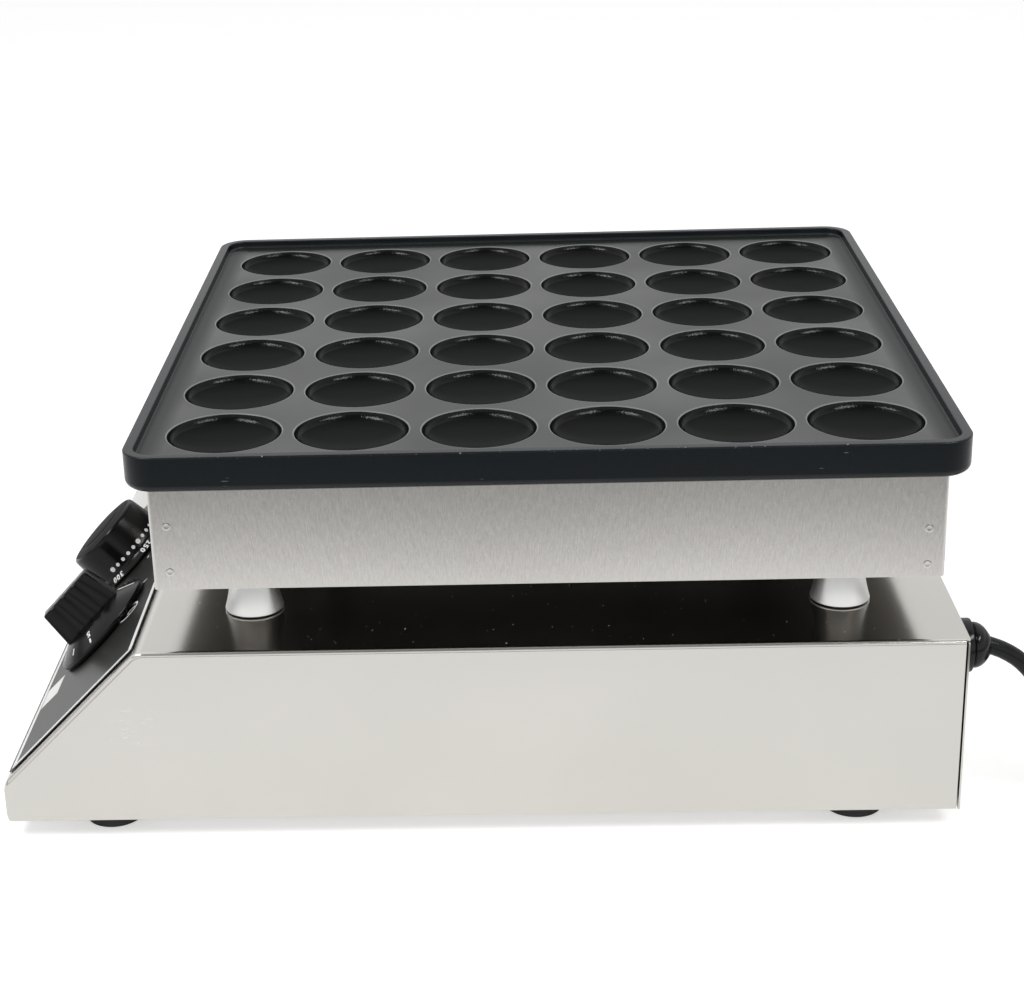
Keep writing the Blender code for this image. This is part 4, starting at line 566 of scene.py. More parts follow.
# Satin-brushed stainless sheet: a warm grey metal, ground by a belt in one direction, which blurs what it
# mirrors across the grain. The real lines are 0.05 mm wide; they are drawn eight times as wide to show.
brushed, tree, shader = new_finish("upright_brushed_stainless", {"Metallic": 1.0})
spot = add_node(tree, "ShaderNodeTexCoord").outputs["Object"]
fine = add_node(
    tree, "ShaderNodeMapping", {}, {"Vector": spot, "Scale": (1 / 0.0004, 1 / 0.0004, 1 / 0.0045)}
)
coarse = add_node(
    tree, "ShaderNodeMapping", {}, {"Vector": spot, "Scale": (1 / 0.0014, 1 / 0.0014, 1 / 0.012)}
)
lines = add_node(
    tree, "ShaderNodeTexNoise", {}, {"Vector": fine.outputs[0], "Scale": 1, "Detail": 3, "Roughness": 0.6}
)
bands = add_node(tree, "ShaderNodeTexNoise", {}, {"Vector": coarse.outputs[0], "Scale": 1, "Detail": 2})
grain = add_node(tree, "ShaderNodeMath", {"operation": "ADD"}, {0: lines.outputs[0], 1: bands.outputs[0]})
colour = add_node(
    tree,
    "ShaderNodeMix",
    {"data_type": "RGBA"},
    {"Factor": lines.outputs[0], "A": tone("#cbc8c4"), "B": tone("#dbd8d4")},
)
rough = add_node(
    tree,
    "ShaderNodeMapRange",
    {},
    {"Value": grain.outputs[0], "From Min": 0.6, "From Max": 1.4, "To Min": 0.10, "To Max": 0.18},
)
brush = add_node(
    tree, "ShaderNodeBump", {}, {"Height": grain.outputs[0], "Strength": 0.7, "Distance": 0.00010}
)
tree.links.new(colour.outputs["Result"], shader.inputs["Base Color"])
tree.links.new(rough.outputs[0], shader.inputs["Roughness"])
tree.links.new(brush.outputs[0], shader.inputs["Normal"])
skirt.data.materials.append(brushed)
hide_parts("heater_housing")
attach(skirt, "machine")

# The pan that closes the housing below is of the same steel, painted a dark brown-grey as painted shade: it
# stands for the shade under the housing, which the base's top mirrors.
painted_shade_steel, *_ = mottled_finish(
    "painted_shade_stainless",
    {"Metallic": 1.0},
    ("#35302b", "#57524c"),
    grain=0.05,
    detail=3,
    roughness=(0.25, 0.4),
)
nodes["housing_floor"].data.materials[0] = painted_shade_steel

# Stand-offs: four cones turned from aluminium bar, with a long bolt through each. They spread to a wide foot
# and keep the hot housing away from the base.
CONE_AT = 0.1186
CONE_LOW = 0.0826
CONE_RINGS = [  # radius, height from its foot
    (0.0043, 0),
    (0.0114, 0),
    (0.01185, 0.0002),
    (0.0120, 0.0006),
    (0.01185, 0.0011),
    (0.01115, 0.0035),
    (0.0105, 0.0063),
    (0.0099, 0.0095),
    (0.0094, 0.0130),
    (0.0090, 0.0170),
    (0.00875, 0.0205),
    (0.0087, 0.0225),
    (0.0086, 0.0229),
    (0.0043, 0.0229),
]
# Turned aluminium: a light metal, brightest where it curves to the lamps. The tool's feed marks run round it;
# the real ones are 0.1 mm apart, and they are drawn six times as far apart to show.
turned, tree, shader = new_finish("turned_aluminium", {"Metallic": 1.0, "Base Color": tone("#f0f0ef")})
spot = add_node(tree, "ShaderNodeTexCoord").outputs["Object"]
feed = add_node(tree, "ShaderNodeMapping", {}, {"Vector": spot, "Scale": (1 / 0.05, 1 / 0.05, 1 / 0.0006)})
marks = add_node(tree, "ShaderNodeTexNoise", {}, {"Vector": feed.outputs[0], "Scale": 1, "Detail": 3})
rough = add_node(tree, "ShaderNodeMapRange", {}, {"Value": marks.outputs[0], "To Min": 0.24, "To Max": 0.38})
cuts = add_node(
    tree, "ShaderNodeBump", {}, {"Height": marks.outputs[0], "Strength": 0.2, "Distance": 0.00003}
)
tree.links.new(rough.outputs[0], shader.inputs["Roughness"])
tree.links.new(cuts.outputs[0], shader.inputs["Normal"])
first_cone = turned_piece("first_cone", CONE_RINGS, 64, "bored")
smooth_faces(first_cone)
first_cone.data.materials.append(turned)
cone_places = [(x, PLATE_Y + y, CONE_LOW) for x in (-CONE_AT, CONE_AT) for y in (-CONE_AT, CONE_AT)]
for number, place in enumerate(cone_places, 1):
    cone = copy_piece(first_cone, f"cone_{number}")
    cone.location = place
    bpy.ops.object.transform_apply()
    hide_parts(f"standoff_{number}")
    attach(cone, "machine")
bpy.data.objects.remove(first_cone)
nodes["thermostat_bulb"].data.materials[0] = turned

# Base shell: the top and both sides of the base, bent from one bright stainless sheet. The sides are cut
# along the slope of the control panel and turned in below.
BASE_HALF = 0.161
FRONT_Y, SLOPE_TOP_Y, REAR_Y = -0.1911, -0.1332, 0.1911
BASE_LOW, LIP_TOP, BASE_TOP = 0.008, 0.0245, 0.0823
SEAM = 0.0007
SHELL_FLANGE_W = 0.030
SHELL_REAR_FLANGE_W = 0.010
SIDE_BEND_R = 0.0018
LOWER_BEND_H = 0.0005
SIDE_EDGE_W = 0.0022
FRONT_BEND_R = 0.0030
SHEET_EDGE_R = 0.0002
BEND_SLACK = 0.00004  # how far the rounded bends would stand out past the solid
shell_rear = REAR_Y - SHEET_T - SEAM
slope_out = Vector((0, -(BASE_TOP - LIP_TOP), SLOPE_TOP_Y - FRONT_Y)).normalized()

shell = box_primitive("shell_sheet", (-BASE_HALF, FRONT_Y, BASE_LOW), (BASE_HALF, shell_rear, BASE_TOP))
bpy.ops.mesh.select_all(action="SELECT")
bpy.ops.mesh.bisect(plane_co=(0, FRONT_Y, LIP_TOP), plane_no=slope_out, clear_outer=True, use_fill=True)
pick("EDGE", lambda e: abs(e.verts[0].co.x - e.verts[1].co.x) > 0.1 and middle(e).y < SLOPE_TOP_Y + 0.001)
bpy.ops.mesh.bevel(offset=FRONT_BEND_R, segments=6, affect="EDGES")
pick("EDGE", lambda e: any(abs(f.normal.x) > 0.9 for f in e.link_faces) and middle(e).y < shell_rear - 0.001)
bpy.ops.mesh.bevel(offset=SIDE_BEND_R, segments=6, affect="EDGES")
pick(
    "VERT", lambda v: v.co.z < BASE_LOW + 1.01 * SIDE_BEND_R and abs(v.co.x) > BASE_HALF - 1.01 * SIDE_BEND_R
)
bpy.ops.transform.resize(value=(1, 1, LOWER_BEND_H / SIDE_BEND_R), center_override=(0, 0, BASE_LOW))
for side in (-1, 1):
    for edge in (SIDE_EDGE_W, SHELL_FLANGE_W):
        bpy.ops.mesh.select_all(action="SELECT")
        bpy.ops.mesh.bisect(plane_co=(side * (BASE_HALF - edge), 0, 0), plane_no=(1, 0, 0))
pick(
    "FACE",
    lambda f: f.normal.y > 0.9
    or f.normal.z < -0.7 and abs(middle(f).x) < BASE_HALF - SHELL_FLANGE_W
    or f.normal.y < -0.69 and f.normal.z < 0.72 and abs(middle(f).x) < BASE_HALF - SIDE_EDGE_W,
)
bpy.ops.mesh.delete(type="FACE")
for side in (-1, 1):
    pick("EDGE", lambda e: abs(middle(e).x * side - BASE_HALF) < FLAT and middle(e).y > shell_rear - FLAT)
    bpy.ops.mesh.extrude_region_move(TRANSFORM_OT_translate={"value": (-side * SHELL_REAR_FLANGE_W, 0, 0)})
pick("EDGE", lambda e: e.is_boundary and middle(e).z > BASE_TOP - FLAT and middle(e).y > shell_rear - FLAT)
bpy.ops.mesh.extrude_region_move(TRANSFORM_OT_translate={"value": (0, REAR_Y - shell_rear, 0)})
bpy.ops.mesh.select_all(action="SELECT")
bpy.ops.mesh.normals_make_consistent(inside=False)
bpy.ops.object.mode_set(mode="OBJECT")
thicken_sheet(shell, SHEET_EDGE_R)
shell.scale.x = 1 - BEND_SLACK / BASE_HALF
bpy.ops.object.transform_apply()
smooth_flats(shell, 35)

# Bright-annealed stainless sheet: rolled smooth, so that it mirrors what stands on it with a slight blur.
# The rolling leaves it a little uneven. Dust lies on its top, and a knock has scratched one side.
KNOCK_PLACE = (BASE_HALF, -0.1375, 0.0500)
KNOCK_REACH = (0.004, 0.014)
bright, tree, shader = new_finish("bright_annealed_stainless", {"Metallic": 1.0})
spot = add_node(tree, "ShaderNodeTexCoord").outputs["Object"]
cloud = add_node(tree, "ShaderNodeTexNoise", {}, {"Vector": spot, "Scale": 1 / 0.09, "Detail": 3})
dust = add_node(tree, "ShaderNodeTexNoise", {}, {"Vector": spot, "Scale": 1 / 0.0013, "Detail": 0})
fallen = add_node(
    tree, "ShaderNodeMapRange", {}, {"Value": dust.outputs[0], "From Min": 0.85, "From Max": 0.87}
)
place = add_node(tree, "ShaderNodeSeparateXYZ", {}, {"Vector": spot})
on_top = add_node(
    tree, "ShaderNodeMath", {"operation": "GREATER_THAN"}, {0: place.outputs["Z"], 1: BASE_TOP - 0.0002}
)
speck = add_node(
    tree, "ShaderNodeMath", {"operation": "MULTIPLY"}, {0: fallen.outputs[0], 1: on_top.outputs[0]}
)
colour = add_node(
    tree,
    "ShaderNodeMix",
    {"data_type": "RGBA"},
    {"Factor": cloud.outputs[0], "A": tone("#cfcdc7"), "B": tone("#dcd9d4")},
)
rough = add_node(
    tree,
    "ShaderNodeMapRange",
    {},
    {"Value": cloud.outputs[0], "From Min": 0.3, "From Max": 0.7, "To Min": 0.15, "To Max": 0.21},
)
drawn = add_node(
    tree,
    "ShaderNodeMapping",
    {},
    {"Vector": spot, "Rotation": (0.15, 0, 0), "Scale": (1 / 0.003, 1 / 0.006, 1 / 0.0006)},
)
lines = add_node(
    tree, "ShaderNodeTexNoise", {}, {"Vector": drawn.outputs[0], "Scale": 1, "Detail": 2, "Distortion": 0.6}
)
line = add_node(
    tree, "ShaderNodeMapRange", {}, {"Value": lines.outputs[0], "From Min": 0.66, "From Max": 0.70}
)
knock = add_node(tree, "ShaderNodeVectorMath", {"operation": "DISTANCE"}, {0: spot, 1: KNOCK_PLACE})
by_knock = add_node(
    tree,
    "ShaderNodeMapRange",
    {},
    {
        "Value": knock.outputs["Value"],
        "From Min": KNOCK_REACH[0],
        "From Max": KNOCK_REACH[1],
        "To Min": 0.5,
        "To Max": 0,
    },
)
scratch = add_node(
    tree, "ShaderNodeMath", {"operation": "MULTIPLY"}, {0: line.outputs[0], 1: by_knock.outputs[0]}
)
mark = add_node(
    tree, "ShaderNodeMath", {"operation": "MAXIMUM"}, {0: speck.outputs[0], 1: scratch.outputs[0]}
)
roughest = add_node(
    tree, "ShaderNodeMath", {"operation": "MAXIMUM"}, {0: rough.outputs[0], 1: mark.outputs[0]}
)
marked = add_node(
    tree,
    "ShaderNodeMix",
    {"data_type": "RGBA"},
    {"Factor": scratch.outputs[0], "A": colour.outputs["Result"], "B": tone("#ffffff")},
)
tree.links.new(marked.outputs["Result"], shader.inputs["Base Color"])
tree.links.new(roughest.outputs[0], shader.inputs["Roughness"])
shell.data.materials.append(bright)
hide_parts("base_shell")
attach(shell, "machine")

# Floor plate and rear panel: flat sheets of the same stainless. The floor plate is held by the feet's bolts,
# and the rear panel by four countersunk screws, just inside the top sheet's rear edge.
REAR_INSET = 0.0002
REAR_TOP_GAP = 0.0003
nodes["base_floor"].data.materials[0] = bright
rear = box_primitive(
    "rear_sheet",
    (-BASE_HALF, REAR_Y - SHEET_T, BASE_LOW),
    (BASE_HALF, REAR_Y - REAR_INSET, BASE_TOP - SHEET_T - REAR_TOP_GAP),
)
bpy.ops.mesh.select_all(action="SELECT")
bpy.ops.mesh.bevel(offset=SHEET_EDGE_R, segments=2, affect="EDGES")
bpy.ops.object.mode_set(mode="OBJECT")
smooth_faces(rear)
rear.data.materials.append(bright)
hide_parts("rear_panel")
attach(rear, "machine")

# Feet: four moulded rubber feet, set in from the corners, with a bolt up through each. The rubber is a
# greyish black, scuffed, with hardly any gloss.
FOOT_PLACES = [(x, y) for x in (-0.141, 0.141) for y in (-0.1507, 0.1518)]
FOOT_RINGS = [  # radius, height from the table: over the bolt's recess and up the outside
    (0.0028, 0.0038),
    (0.0055, 0.0038),
    (0.0055, 0.0001),
    (0.0056, 0),
    (0.0112, 0),
    (0.0117, 0.0002),
    (0.0120, 0.0007),
    (0.01198, 0.0012),
    (0.0105, 0.0064),
    (0.0028, 0.0064),
]
rubber, tree, shader, scuff = mottled_finish(
    "moulded_black_rubber", {"Roughness": 0.6, "IOR": 1.52}, ("#0d0d0e", "#1a1a1b"), grain=0.003, detail=4
)
nib = add_node(tree, "ShaderNodeBump", {}, {"Height": scuff.outputs[0], "Strength": 0.3, "Distance": 0.0001})
tree.links.new(nib.outputs[0], shader.inputs["Normal"])
first_foot = turned_piece("first_foot", FOOT_RINGS, 48, "bored")
smooth_faces(first_foot)
first_foot.data.materials.append(rubber)
for number, (x, y) in enumerate(FOOT_PLACES, 1):
    foot = copy_piece(first_foot, f"rubber_foot_{number}")
    foot.location = (x, y, 0)
    bpy.ops.object.transform_apply()
    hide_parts(f"foot_{number}")
    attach(foot, "machine")
bpy.data.objects.remove(first_foot)

# Control panel: the slope and the front lip, bent from one stainless sheet and let in between the shell's
# sides, with its lower edge turned in.
PANEL_HALF = BASE_HALF - SIDE_EDGE_W - SEAM
PANEL_TAB = 0.012
PANEL_RETURN = 0.010
PANEL_BEND_R = FRONT_BEND_R * 0.8
slope_angle = atan2(BASE_TOP - LIP_TOP, SLOPE_TOP_Y - FRONT_Y)
slope_length = hypot(BASE_TOP - LIP_TOP, SLOPE_TOP_Y - FRONT_Y)
panel_frame = Matrix.Translation((0, SLOPE_TOP_Y, BASE_TOP)) @ Matrix.Rotation(slope_angle, 4, "X")
panel_up = slope_length - FRONT_BEND_R * tan(slope_angle / 2) - SEAM
tab_drop = 2 * SHEET_T

panel = box_primitive(
    "panel_sheet", (-PANEL_HALF, FRONT_Y, BASE_LOW), (PANEL_HALF, FRONT_Y + PANEL_RETURN, LIP_TOP)
)
pick("FACE", lambda f: f.normal.y > -0.9 and f.normal.z > -0.9)
bpy.ops.mesh.delete(type="FACE")
pick("EDGE", lambda e: abs(middle(e).z - LIP_TOP) < FLAT)
up_slope = (0, panel_up * cos(slope_angle), panel_up * sin(slope_angle))
for move in (up_slope, -tab_drop * slope_out, (0, PANEL_TAB, 0)):
    bpy.ops.mesh.extrude_region_move(TRANSFORM_OT_translate={"value": move})
pick("EDGE", lambda e: len(e.link_faces) == 2 and middle(e).z < LIP_TOP + 0.001)
bpy.ops.mesh.bevel(offset=PANEL_BEND_R, segments=6, affect="EDGES")
bpy.ops.mesh.select_all(action="SELECT")
bpy.ops.mesh.normals_make_consistent(inside=False)
bpy.ops.object.mode_set(mode="OBJECT")
thicken_sheet(panel, SHEET_EDGE_R)
smooth_flats(panel, 35)
panel.data.materials.append(bright)
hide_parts("control_panel")
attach(panel, "machine")

# Panel film: a dark polyester film stuck to the slope, with a white frame and the marks of the two controls
# printed on it. Its fine matt face gives it soft, even reflections.
film, *_ = mottled_finish(
    "screen_printed_film",
    {"IOR": 1.5, "Roughness": 0.3},
    ("#121211", "#1c1c1a"),
    grain=0.0006,
    detail=2,
    roughness=(0.30, 0.38),
)
nodes["panel_film"].data.materials[0] = film

CONTROL_S = 0.040
THERMOSTAT_X, TIMER_X = 0, 0.0757
FILM_LOW_X, FILM_HIGH_X = -0.090, 0.154
FILM_MARGIN = 0.0020
FILM_TOP = 0.0006
PRINT_T = 0.00006
PRINT_GAP, KNOB_PRINT_GAP = 0.00002, 0.00003
LINE_W = 0.0025
FRAME_INSET = 0.0009
FRAME_CORNER_R = 0.0015
CLOCK_PLACE = (0.0915, 0.0203)
CLOCK_R = 0.006
CLOCK_LINE_W = 0.0009
STROKE_SWELL = 0.045  # how much fatter the figures' strokes are, as a share of their height
# White printing ink: opaque, half matt, a little uneven.
ink, *_ = mottled_finish(
    "white_printing_ink", {"IOR": 1.5, "Roughness": 0.45}, ("#f0f0ee", "#fdfdfc"), grain=0.0004, detail=2
)


def ink_frame(name, low, high, radius=0, width=0):
    """A printed rectangle, given across and up the slope, or a line of a width round it."""
    bpy.ops.object.select_all(action="DESELECT")
    place = [(a + b) / 2 for a, b in zip(low, high)]
    bpy.ops.mesh.primitive_plane_add(size=1, location=(*place, 0))
    mark = bpy.context.object
    mark.scale = (high[0] - low[0], high[1] - low[1], 1)
    bpy.ops.object.transform_apply()
    mark.name = mark.data.name = name
    bpy.ops.object.mode_set(mode="EDIT")
    if radius:
        bpy.ops.mesh.bevel(offset=radius, segments=6, affect="VERTICES")
    if width:
        pick("FACE", lambda f: True)
        bpy.ops.mesh.inset(thickness=width)
        bpy.ops.mesh.delete(type="FACE")
    bpy.ops.object.mode_set(mode="OBJECT")
    return mark


def ink_text(name, words, size):
    """Printed figures as a flat mesh, centred on the origin, with their tops to +Y."""
    bpy.ops.object.select_all(action="DESELECT")
    bpy.ops.object.text_add()
    mark = bpy.context.object
    mark.data.body = words
    mark.data.size = size
    mark.data.align_x = "CENTER"
    mark.data.align_y = "CENTER"
    mark.data.resolution_u = 4
    mark.data.offset = size * STROKE_SWELL
    bpy.ops.object.convert(target="MESH")
    mark.name = mark.data.name = name
    return mark


def ink_dot(name, radius):
    """A printed dot."""
    bpy.ops.object.select_all(action="DESELECT")
    bpy.ops.mesh.primitive_circle_add(vertices=20, radius=radius, fill_type="NGON")
    bpy.context.object.name = name
    return bpy.context.object


def lay_ink(marks, name, body):
    """Join flat marks into one piece with the ink's thickness, which rides on a body."""
    bpy.ops.object.select_all(action="DESELECT")
    for mark in marks:
        mark.select_set(True)
    bpy.context.view_layer.objects.active = marks[0]
    if len(marks) > 1:
        bpy.ops.object.join()
    bpy.ops.object.transform_apply()
    piece = bpy.context.object
    piece.name = piece.data.name = name
    bpy.ops.object.mode_set(mode="EDIT")
    bpy.ops.mesh.select_all(action="SELECT")
    bpy.ops.mesh.remove_doubles(threshold=0.00001)
    bpy.ops.object.mode_set(mode="OBJECT")
    apply_modifier(piece, "SOLIDIFY", {"thickness": PRINT_T, "offset": 1})
    piece.data.materials.append(ink)
    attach(piece, body)
    return piece


def on_film(mark, x=0, s=0, turn=0):
    """Place a mark on the film: across, down the slope, and turned clockwise from up-slope."""
    local = Matrix.Translation((x, -s, FILM_TOP + PRINT_GAP)) @ Matrix.Rotation(-turn, 4, "Z")
    mark.matrix_world = panel_frame @ local @ mark.matrix_world
    return mark


frame_low = (FILM_LOW_X + FRAME_INSET, -slope_length + FILM_MARGIN + 2 * FRAME_INSET)
frame_high = (FILM_HIGH_X - FRAME_INSET, -FILM_MARGIN - FRAME_INSET)
film_marks = [
    on_film(ink_frame("frame_line", frame_low, frame_high, FRAME_CORNER_R, LINE_W)),
    on_film(ink_frame("index_line", (-0.0004, -0.0016), (0.0004, 0.0016)), 0.0658, 0.0162),
    on_film(ink_frame("blank_label", (0.088, -0.0750), (0.105, -0.0640))),
]
clock = ink_dot("clock_face", CLOCK_R)
bpy.ops.object.mode_set(mode="EDIT")
pick("FACE", lambda f: True)
bpy.ops.mesh.inset(thickness=CLOCK_LINE_W)
bpy.ops.mesh.delete(type="FACE")
bpy.ops.object.mode_set(mode="OBJECT")
film_marks.append(on_film(clock, *CLOCK_PLACE))
film_marks.append(on_film(ink_frame("clock_hand", (-0.0003, 0), (0.0003, 0.0040)), *CLOCK_PLACE))
film_marks.append(
    on_film(ink_frame("clock_hand_2", (-0.0003, 0), (0.0003, 0.0028)), *CLOCK_PLACE, radians(90))
)
film_marks.append(on_film(ink_frame("heat_mark", (-0.0013, -0.0004), (0.0013, 0.0004)), 0.0270, 0.0235))
lay_ink(film_marks, "film_print", "machine")

# Thermostat: a moulded phenolic knob on the spindle of a capillary thermostat. Its side carries a dot for
# every ten degrees and figures for every fifty, and its cap is left matt by the mould.
THERMOSTAT_RINGS = [  # radius, height from the panel: out of the hollow, up the side and over the cap
    (0.0095, 0.0055),
    (0.0095, 0.0010),
    (0.0230, 0.0010),
    (0.02345, 0.00115),
    (0.0236, 0.0016),
    (0.02345, 0.0021),
    (0.0230, 0.0024),
    (0.0220, 0.0032),
    (0.0213, 0.0038),
    (0.02095, 0.0043),
    (0.0207, 0.0052),
    (0.0204, 0.0072),
    (0.0199, 0.0130),
    (0.01945, 0.0184),
    (0.01935, 0.0192),
    (0.01905, 0.0199),
    (0.0186, 0.02035),
    (0.0180, 0.0206),
    (0.0150, 0.02115),
    (0.0126, 0.02145),
    (0.01235, 0.02138),
    (0.0120, 0.0211),
    (0.0116, 0.02105),
    (0.0112, 0.0212),
    (0.0109, 0.0215),
    (0.0106, 0.02162),
    (0.0070, 0.02188),
    (0.0035, 0.02197),
    (0, 0.0220),
]
# Moulded phenolic: near black and hard, with the soft gloss of a polished mould.
phenolic, *_ = mottled_finish(
    "moulded_phenolic",
    {"Specular IOR Level": 0.22},
    ("#080809", "#101011"),
    grain=0.0007,
    detail=2,
    roughness=(0.16, 0.26),
)

# The cap is shaped by a spark-eroded part of the mould, which leaves it finely pitted and matt.
sparked, tree, shader, pits = mottled_finish(
    "spark_textured_phenolic",
    {"Specular IOR Level": 0.15, "Roughness": 0.55},
    ("#0e0e0f", "#171718"),
    grain=0.0005,
    detail=2,
)
grain = add_node(tree, "ShaderNodeBump", {}, {"Height": pits.outputs[0], "Strength": 0.5, "Distance": 0.0001})
tree.links.new(grain.outputs[0], shader.inputs["Normal"])


def on_panel(piece, x):
    """Set a finished piece on the slope, square to it, over a control's spindle."""
    bpy.ops.object.select_all(action="DESELECT")
    piece.select_set(True)
    bpy.context.view_layer.objects.active = piece
    piece.matrix_world = panel_frame @ Matrix.Translation((x, -CONTROL_S, 0)) @ piece.matrix_world
    bpy.ops.object.transform_apply()


CAP_LOW, CAP_R = 0.0206, 0.0182
SPARKED = 1  # the cap's place among the knob's materials
thermostat_knob = turned_piece("thermostat_dial", THERMOSTAT_RINGS, 96)
smooth_faces(thermostat_knob)
thermostat_knob.data.materials.append(phenolic)
thermostat_knob.data.materials.append(sparked)
for face in thermostat_knob.data.polygons:
    if face.center.z > CAP_LOW and hypot(face.center.x, face.center.y) < CAP_R:
        face.material_index = SPARKED
on_panel(thermostat_knob, THERMOSTAT_X)
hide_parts("thermostat_knob")
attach(thermostat_knob, "thermostat")


def round_knob(mark, x, clock, radius, height, lean):
    """Place a mark on a knob: clockwise from up-slope, at a radius and height, its face leaning outwards."""
    spot = Matrix.Rotation(-clock, 4, "Z") @ Matrix.Translation((0, radius, height))
    mark.matrix_world = (
        panel_frame
        @ Matrix.Translation((x, -CONTROL_S, 0))
        @ spot
        @ Matrix.Rotation(-lean, 4, "X")
        @ Matrix.Translation((0, 0, KNOB_PRINT_GAP))
        @ mark.matrix_world
    )
    return mark


DOT_STEP = radians(10.1)
DIGIT_STEP = radians(6.2)
FIGURE_300 = radians(97.8)
DIAL_DOT_R, DIAL_FIFTY_R = 0.0009, 0.0012
DOTS_AT = (0.0204, 0.0070, radians(82))  # radius, height, lean
DIGITS_AT = (0.0222, 0.0031, radians(40))
DIGIT_H = 0.0037
dial_marks = []
for step in range(-20, 1):
    dot = ink_dot("dial_dot", DIAL_FIFTY_R if step % 5 == 0 else DIAL_DOT_R)
    dial_marks.append(round_knob(dot, THERMOSTAT_X, FIGURE_300 + step * DOT_STEP, *DOTS_AT))
for value, at in ((300, 0), (250, -5), (200, -10), (150, -15), (100, -20)):
    for i, figure in enumerate(str(value)):
        around = FIGURE_300 + at * DOT_STEP + (i - 1) * DIGIT_STEP
        digit = ink_text("dial_figure", figure, DIGIT_H)
        dial_marks.append(round_knob(digit, THERMOSTAT_X, around, *DIGITS_AT))
lay_ink(dial_marks, "thermostat_print", "thermostat")

# Timer: a moulded phenolic disc with a tall grip across it, on the spindle of a clockwork timer. Both sides
# of the grip have three shallow finger grooves.
TIMER_RINGS = [  # radius, height from the panel, as for the thermostat
    (0.0095, 0.0055),
    (0.0095, 0.0010),
    (0.0242, 0.0010),
    (0.0247, 0.0012),
    (0.0249, 0.0017),
    (0.0249, 0.0029),
    (0.02475, 0.0034),
    (0.0243, 0.00375),
    (0.0155, 0.00785),
    (0.0145, 0.0082),
    (0.0130, 0.00835),
    (0, 0.0084),
]
GRIP_LOW, GRIP_TOP = 0.0060, 0.0240
GRIP_FOOT = (0.0156, 0.0056)
GRIP_HEAD = (0.0132, 0.0043)
GRIP_EDGE = 0.0007
GRIP_TURN = radians(13)
GROOVES = [share * GRIP_FOOT[0] for share in (-0.5, 0, 0.5)]
GROOVE_HALF_W = 0.0006
GROOVE_DEPTH = 0.0005
disc = turned_piece("timer_disc", TIMER_RINGS, 96)
smooth_faces(disc)
grip = box_primitive("timer_grip", (-GRIP_FOOT[0], -GRIP_FOOT[1], GRIP_LOW), (*GRIP_FOOT, GRIP_TOP))
for groove in GROOVES:
    for offset in (-2, -1, 1, 2):
        bpy.ops.mesh.select_all(action="SELECT")
        bpy.ops.mesh.bisect(plane_co=(groove + offset * GROOVE_HALF_W, 0, 0), plane_no=(1, 0, 0))
pick("VERT", lambda v: any(abs(v.co.x - groove) < 1.1 * GROOVE_HALF_W for groove in GROOVES))
narrower = (GRIP_FOOT[1] - GROOVE_DEPTH) / GRIP_FOOT[1]
bpy.ops.transform.resize(value=(1, narrower, 1), center_override=(0, 0, 0))
pick("VERT", lambda v: v.co.z > GRIP_TOP - FLAT)
taper = (GRIP_HEAD[0] / GRIP_FOOT[0], GRIP_HEAD[1] / GRIP_FOOT[1], 1)
bpy.ops.transform.resize(value=taper, center_override=(0, 0, GRIP_TOP))
pick(
    "EDGE",
    lambda e: any(abs(f.normal.x) > 0.9 for f in e.link_faces)
    or all(v.co.z > GRIP_TOP - FLAT for v in e.verts)
    and len({f.normal.z > 0.9 for f in e.link_faces}) > 1,
)
bpy.ops.mesh.bevel(offset=GRIP_EDGE, segments=4, affect="EDGES", clamp_overlap=True)
bpy.ops.object.mode_set(mode="OBJECT")
grip.rotation_euler = (0, 0, pi / 2 + GRIP_TURN)
bpy.ops.object.transform_apply()
smooth_faces(grip, 40)
disc.select_set(True)
bpy.context.view_layer.objects.active = disc
bpy.ops.object.join()
timer_knob = disc
timer_knob.name = timer_knob.data.name = "timer_dial"
timer_knob.data.materials.append(phenolic)
on_panel(timer_knob, TIMER_X)
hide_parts("timer_knob")
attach(timer_knob, "timer")
DISC_LEAN = atan2(0.0041, 0.0088)  # fall over run of the disc's slope
TIMER_DASHES = [  # half width, half length, degrees clockwise from up-slope, radius, height
    (0.00045, 0.0013, 87.5, 0.0218, 0.0049),
    (0.00045, 0.0015, 122, 0.0200, 0.00575),
    (0.00045, 0.0015, 152, 0.0210, 0.0053),
    (0.0005, 0.0038, 350, 0.0195, 0.0060),
]
timer_figure = ink_text("timer_figure", "5", 0.0042)
timer_marks = [round_knob(timer_figure, TIMER_X, radians(87.5), 0.0180, 0.0067, DISC_LEAN)]
for half_w, half_l, degrees, radius, height in TIMER_DASHES:
    dash = ink_frame("timer_mark", (-half_w, -half_l), (half_w, half_l))
    timer_marks.append(round_knob(dash, TIMER_X, radians(degrees), radius, height, DISC_LEAN))
lay_ink(timer_marks, "timer_print", "timer")

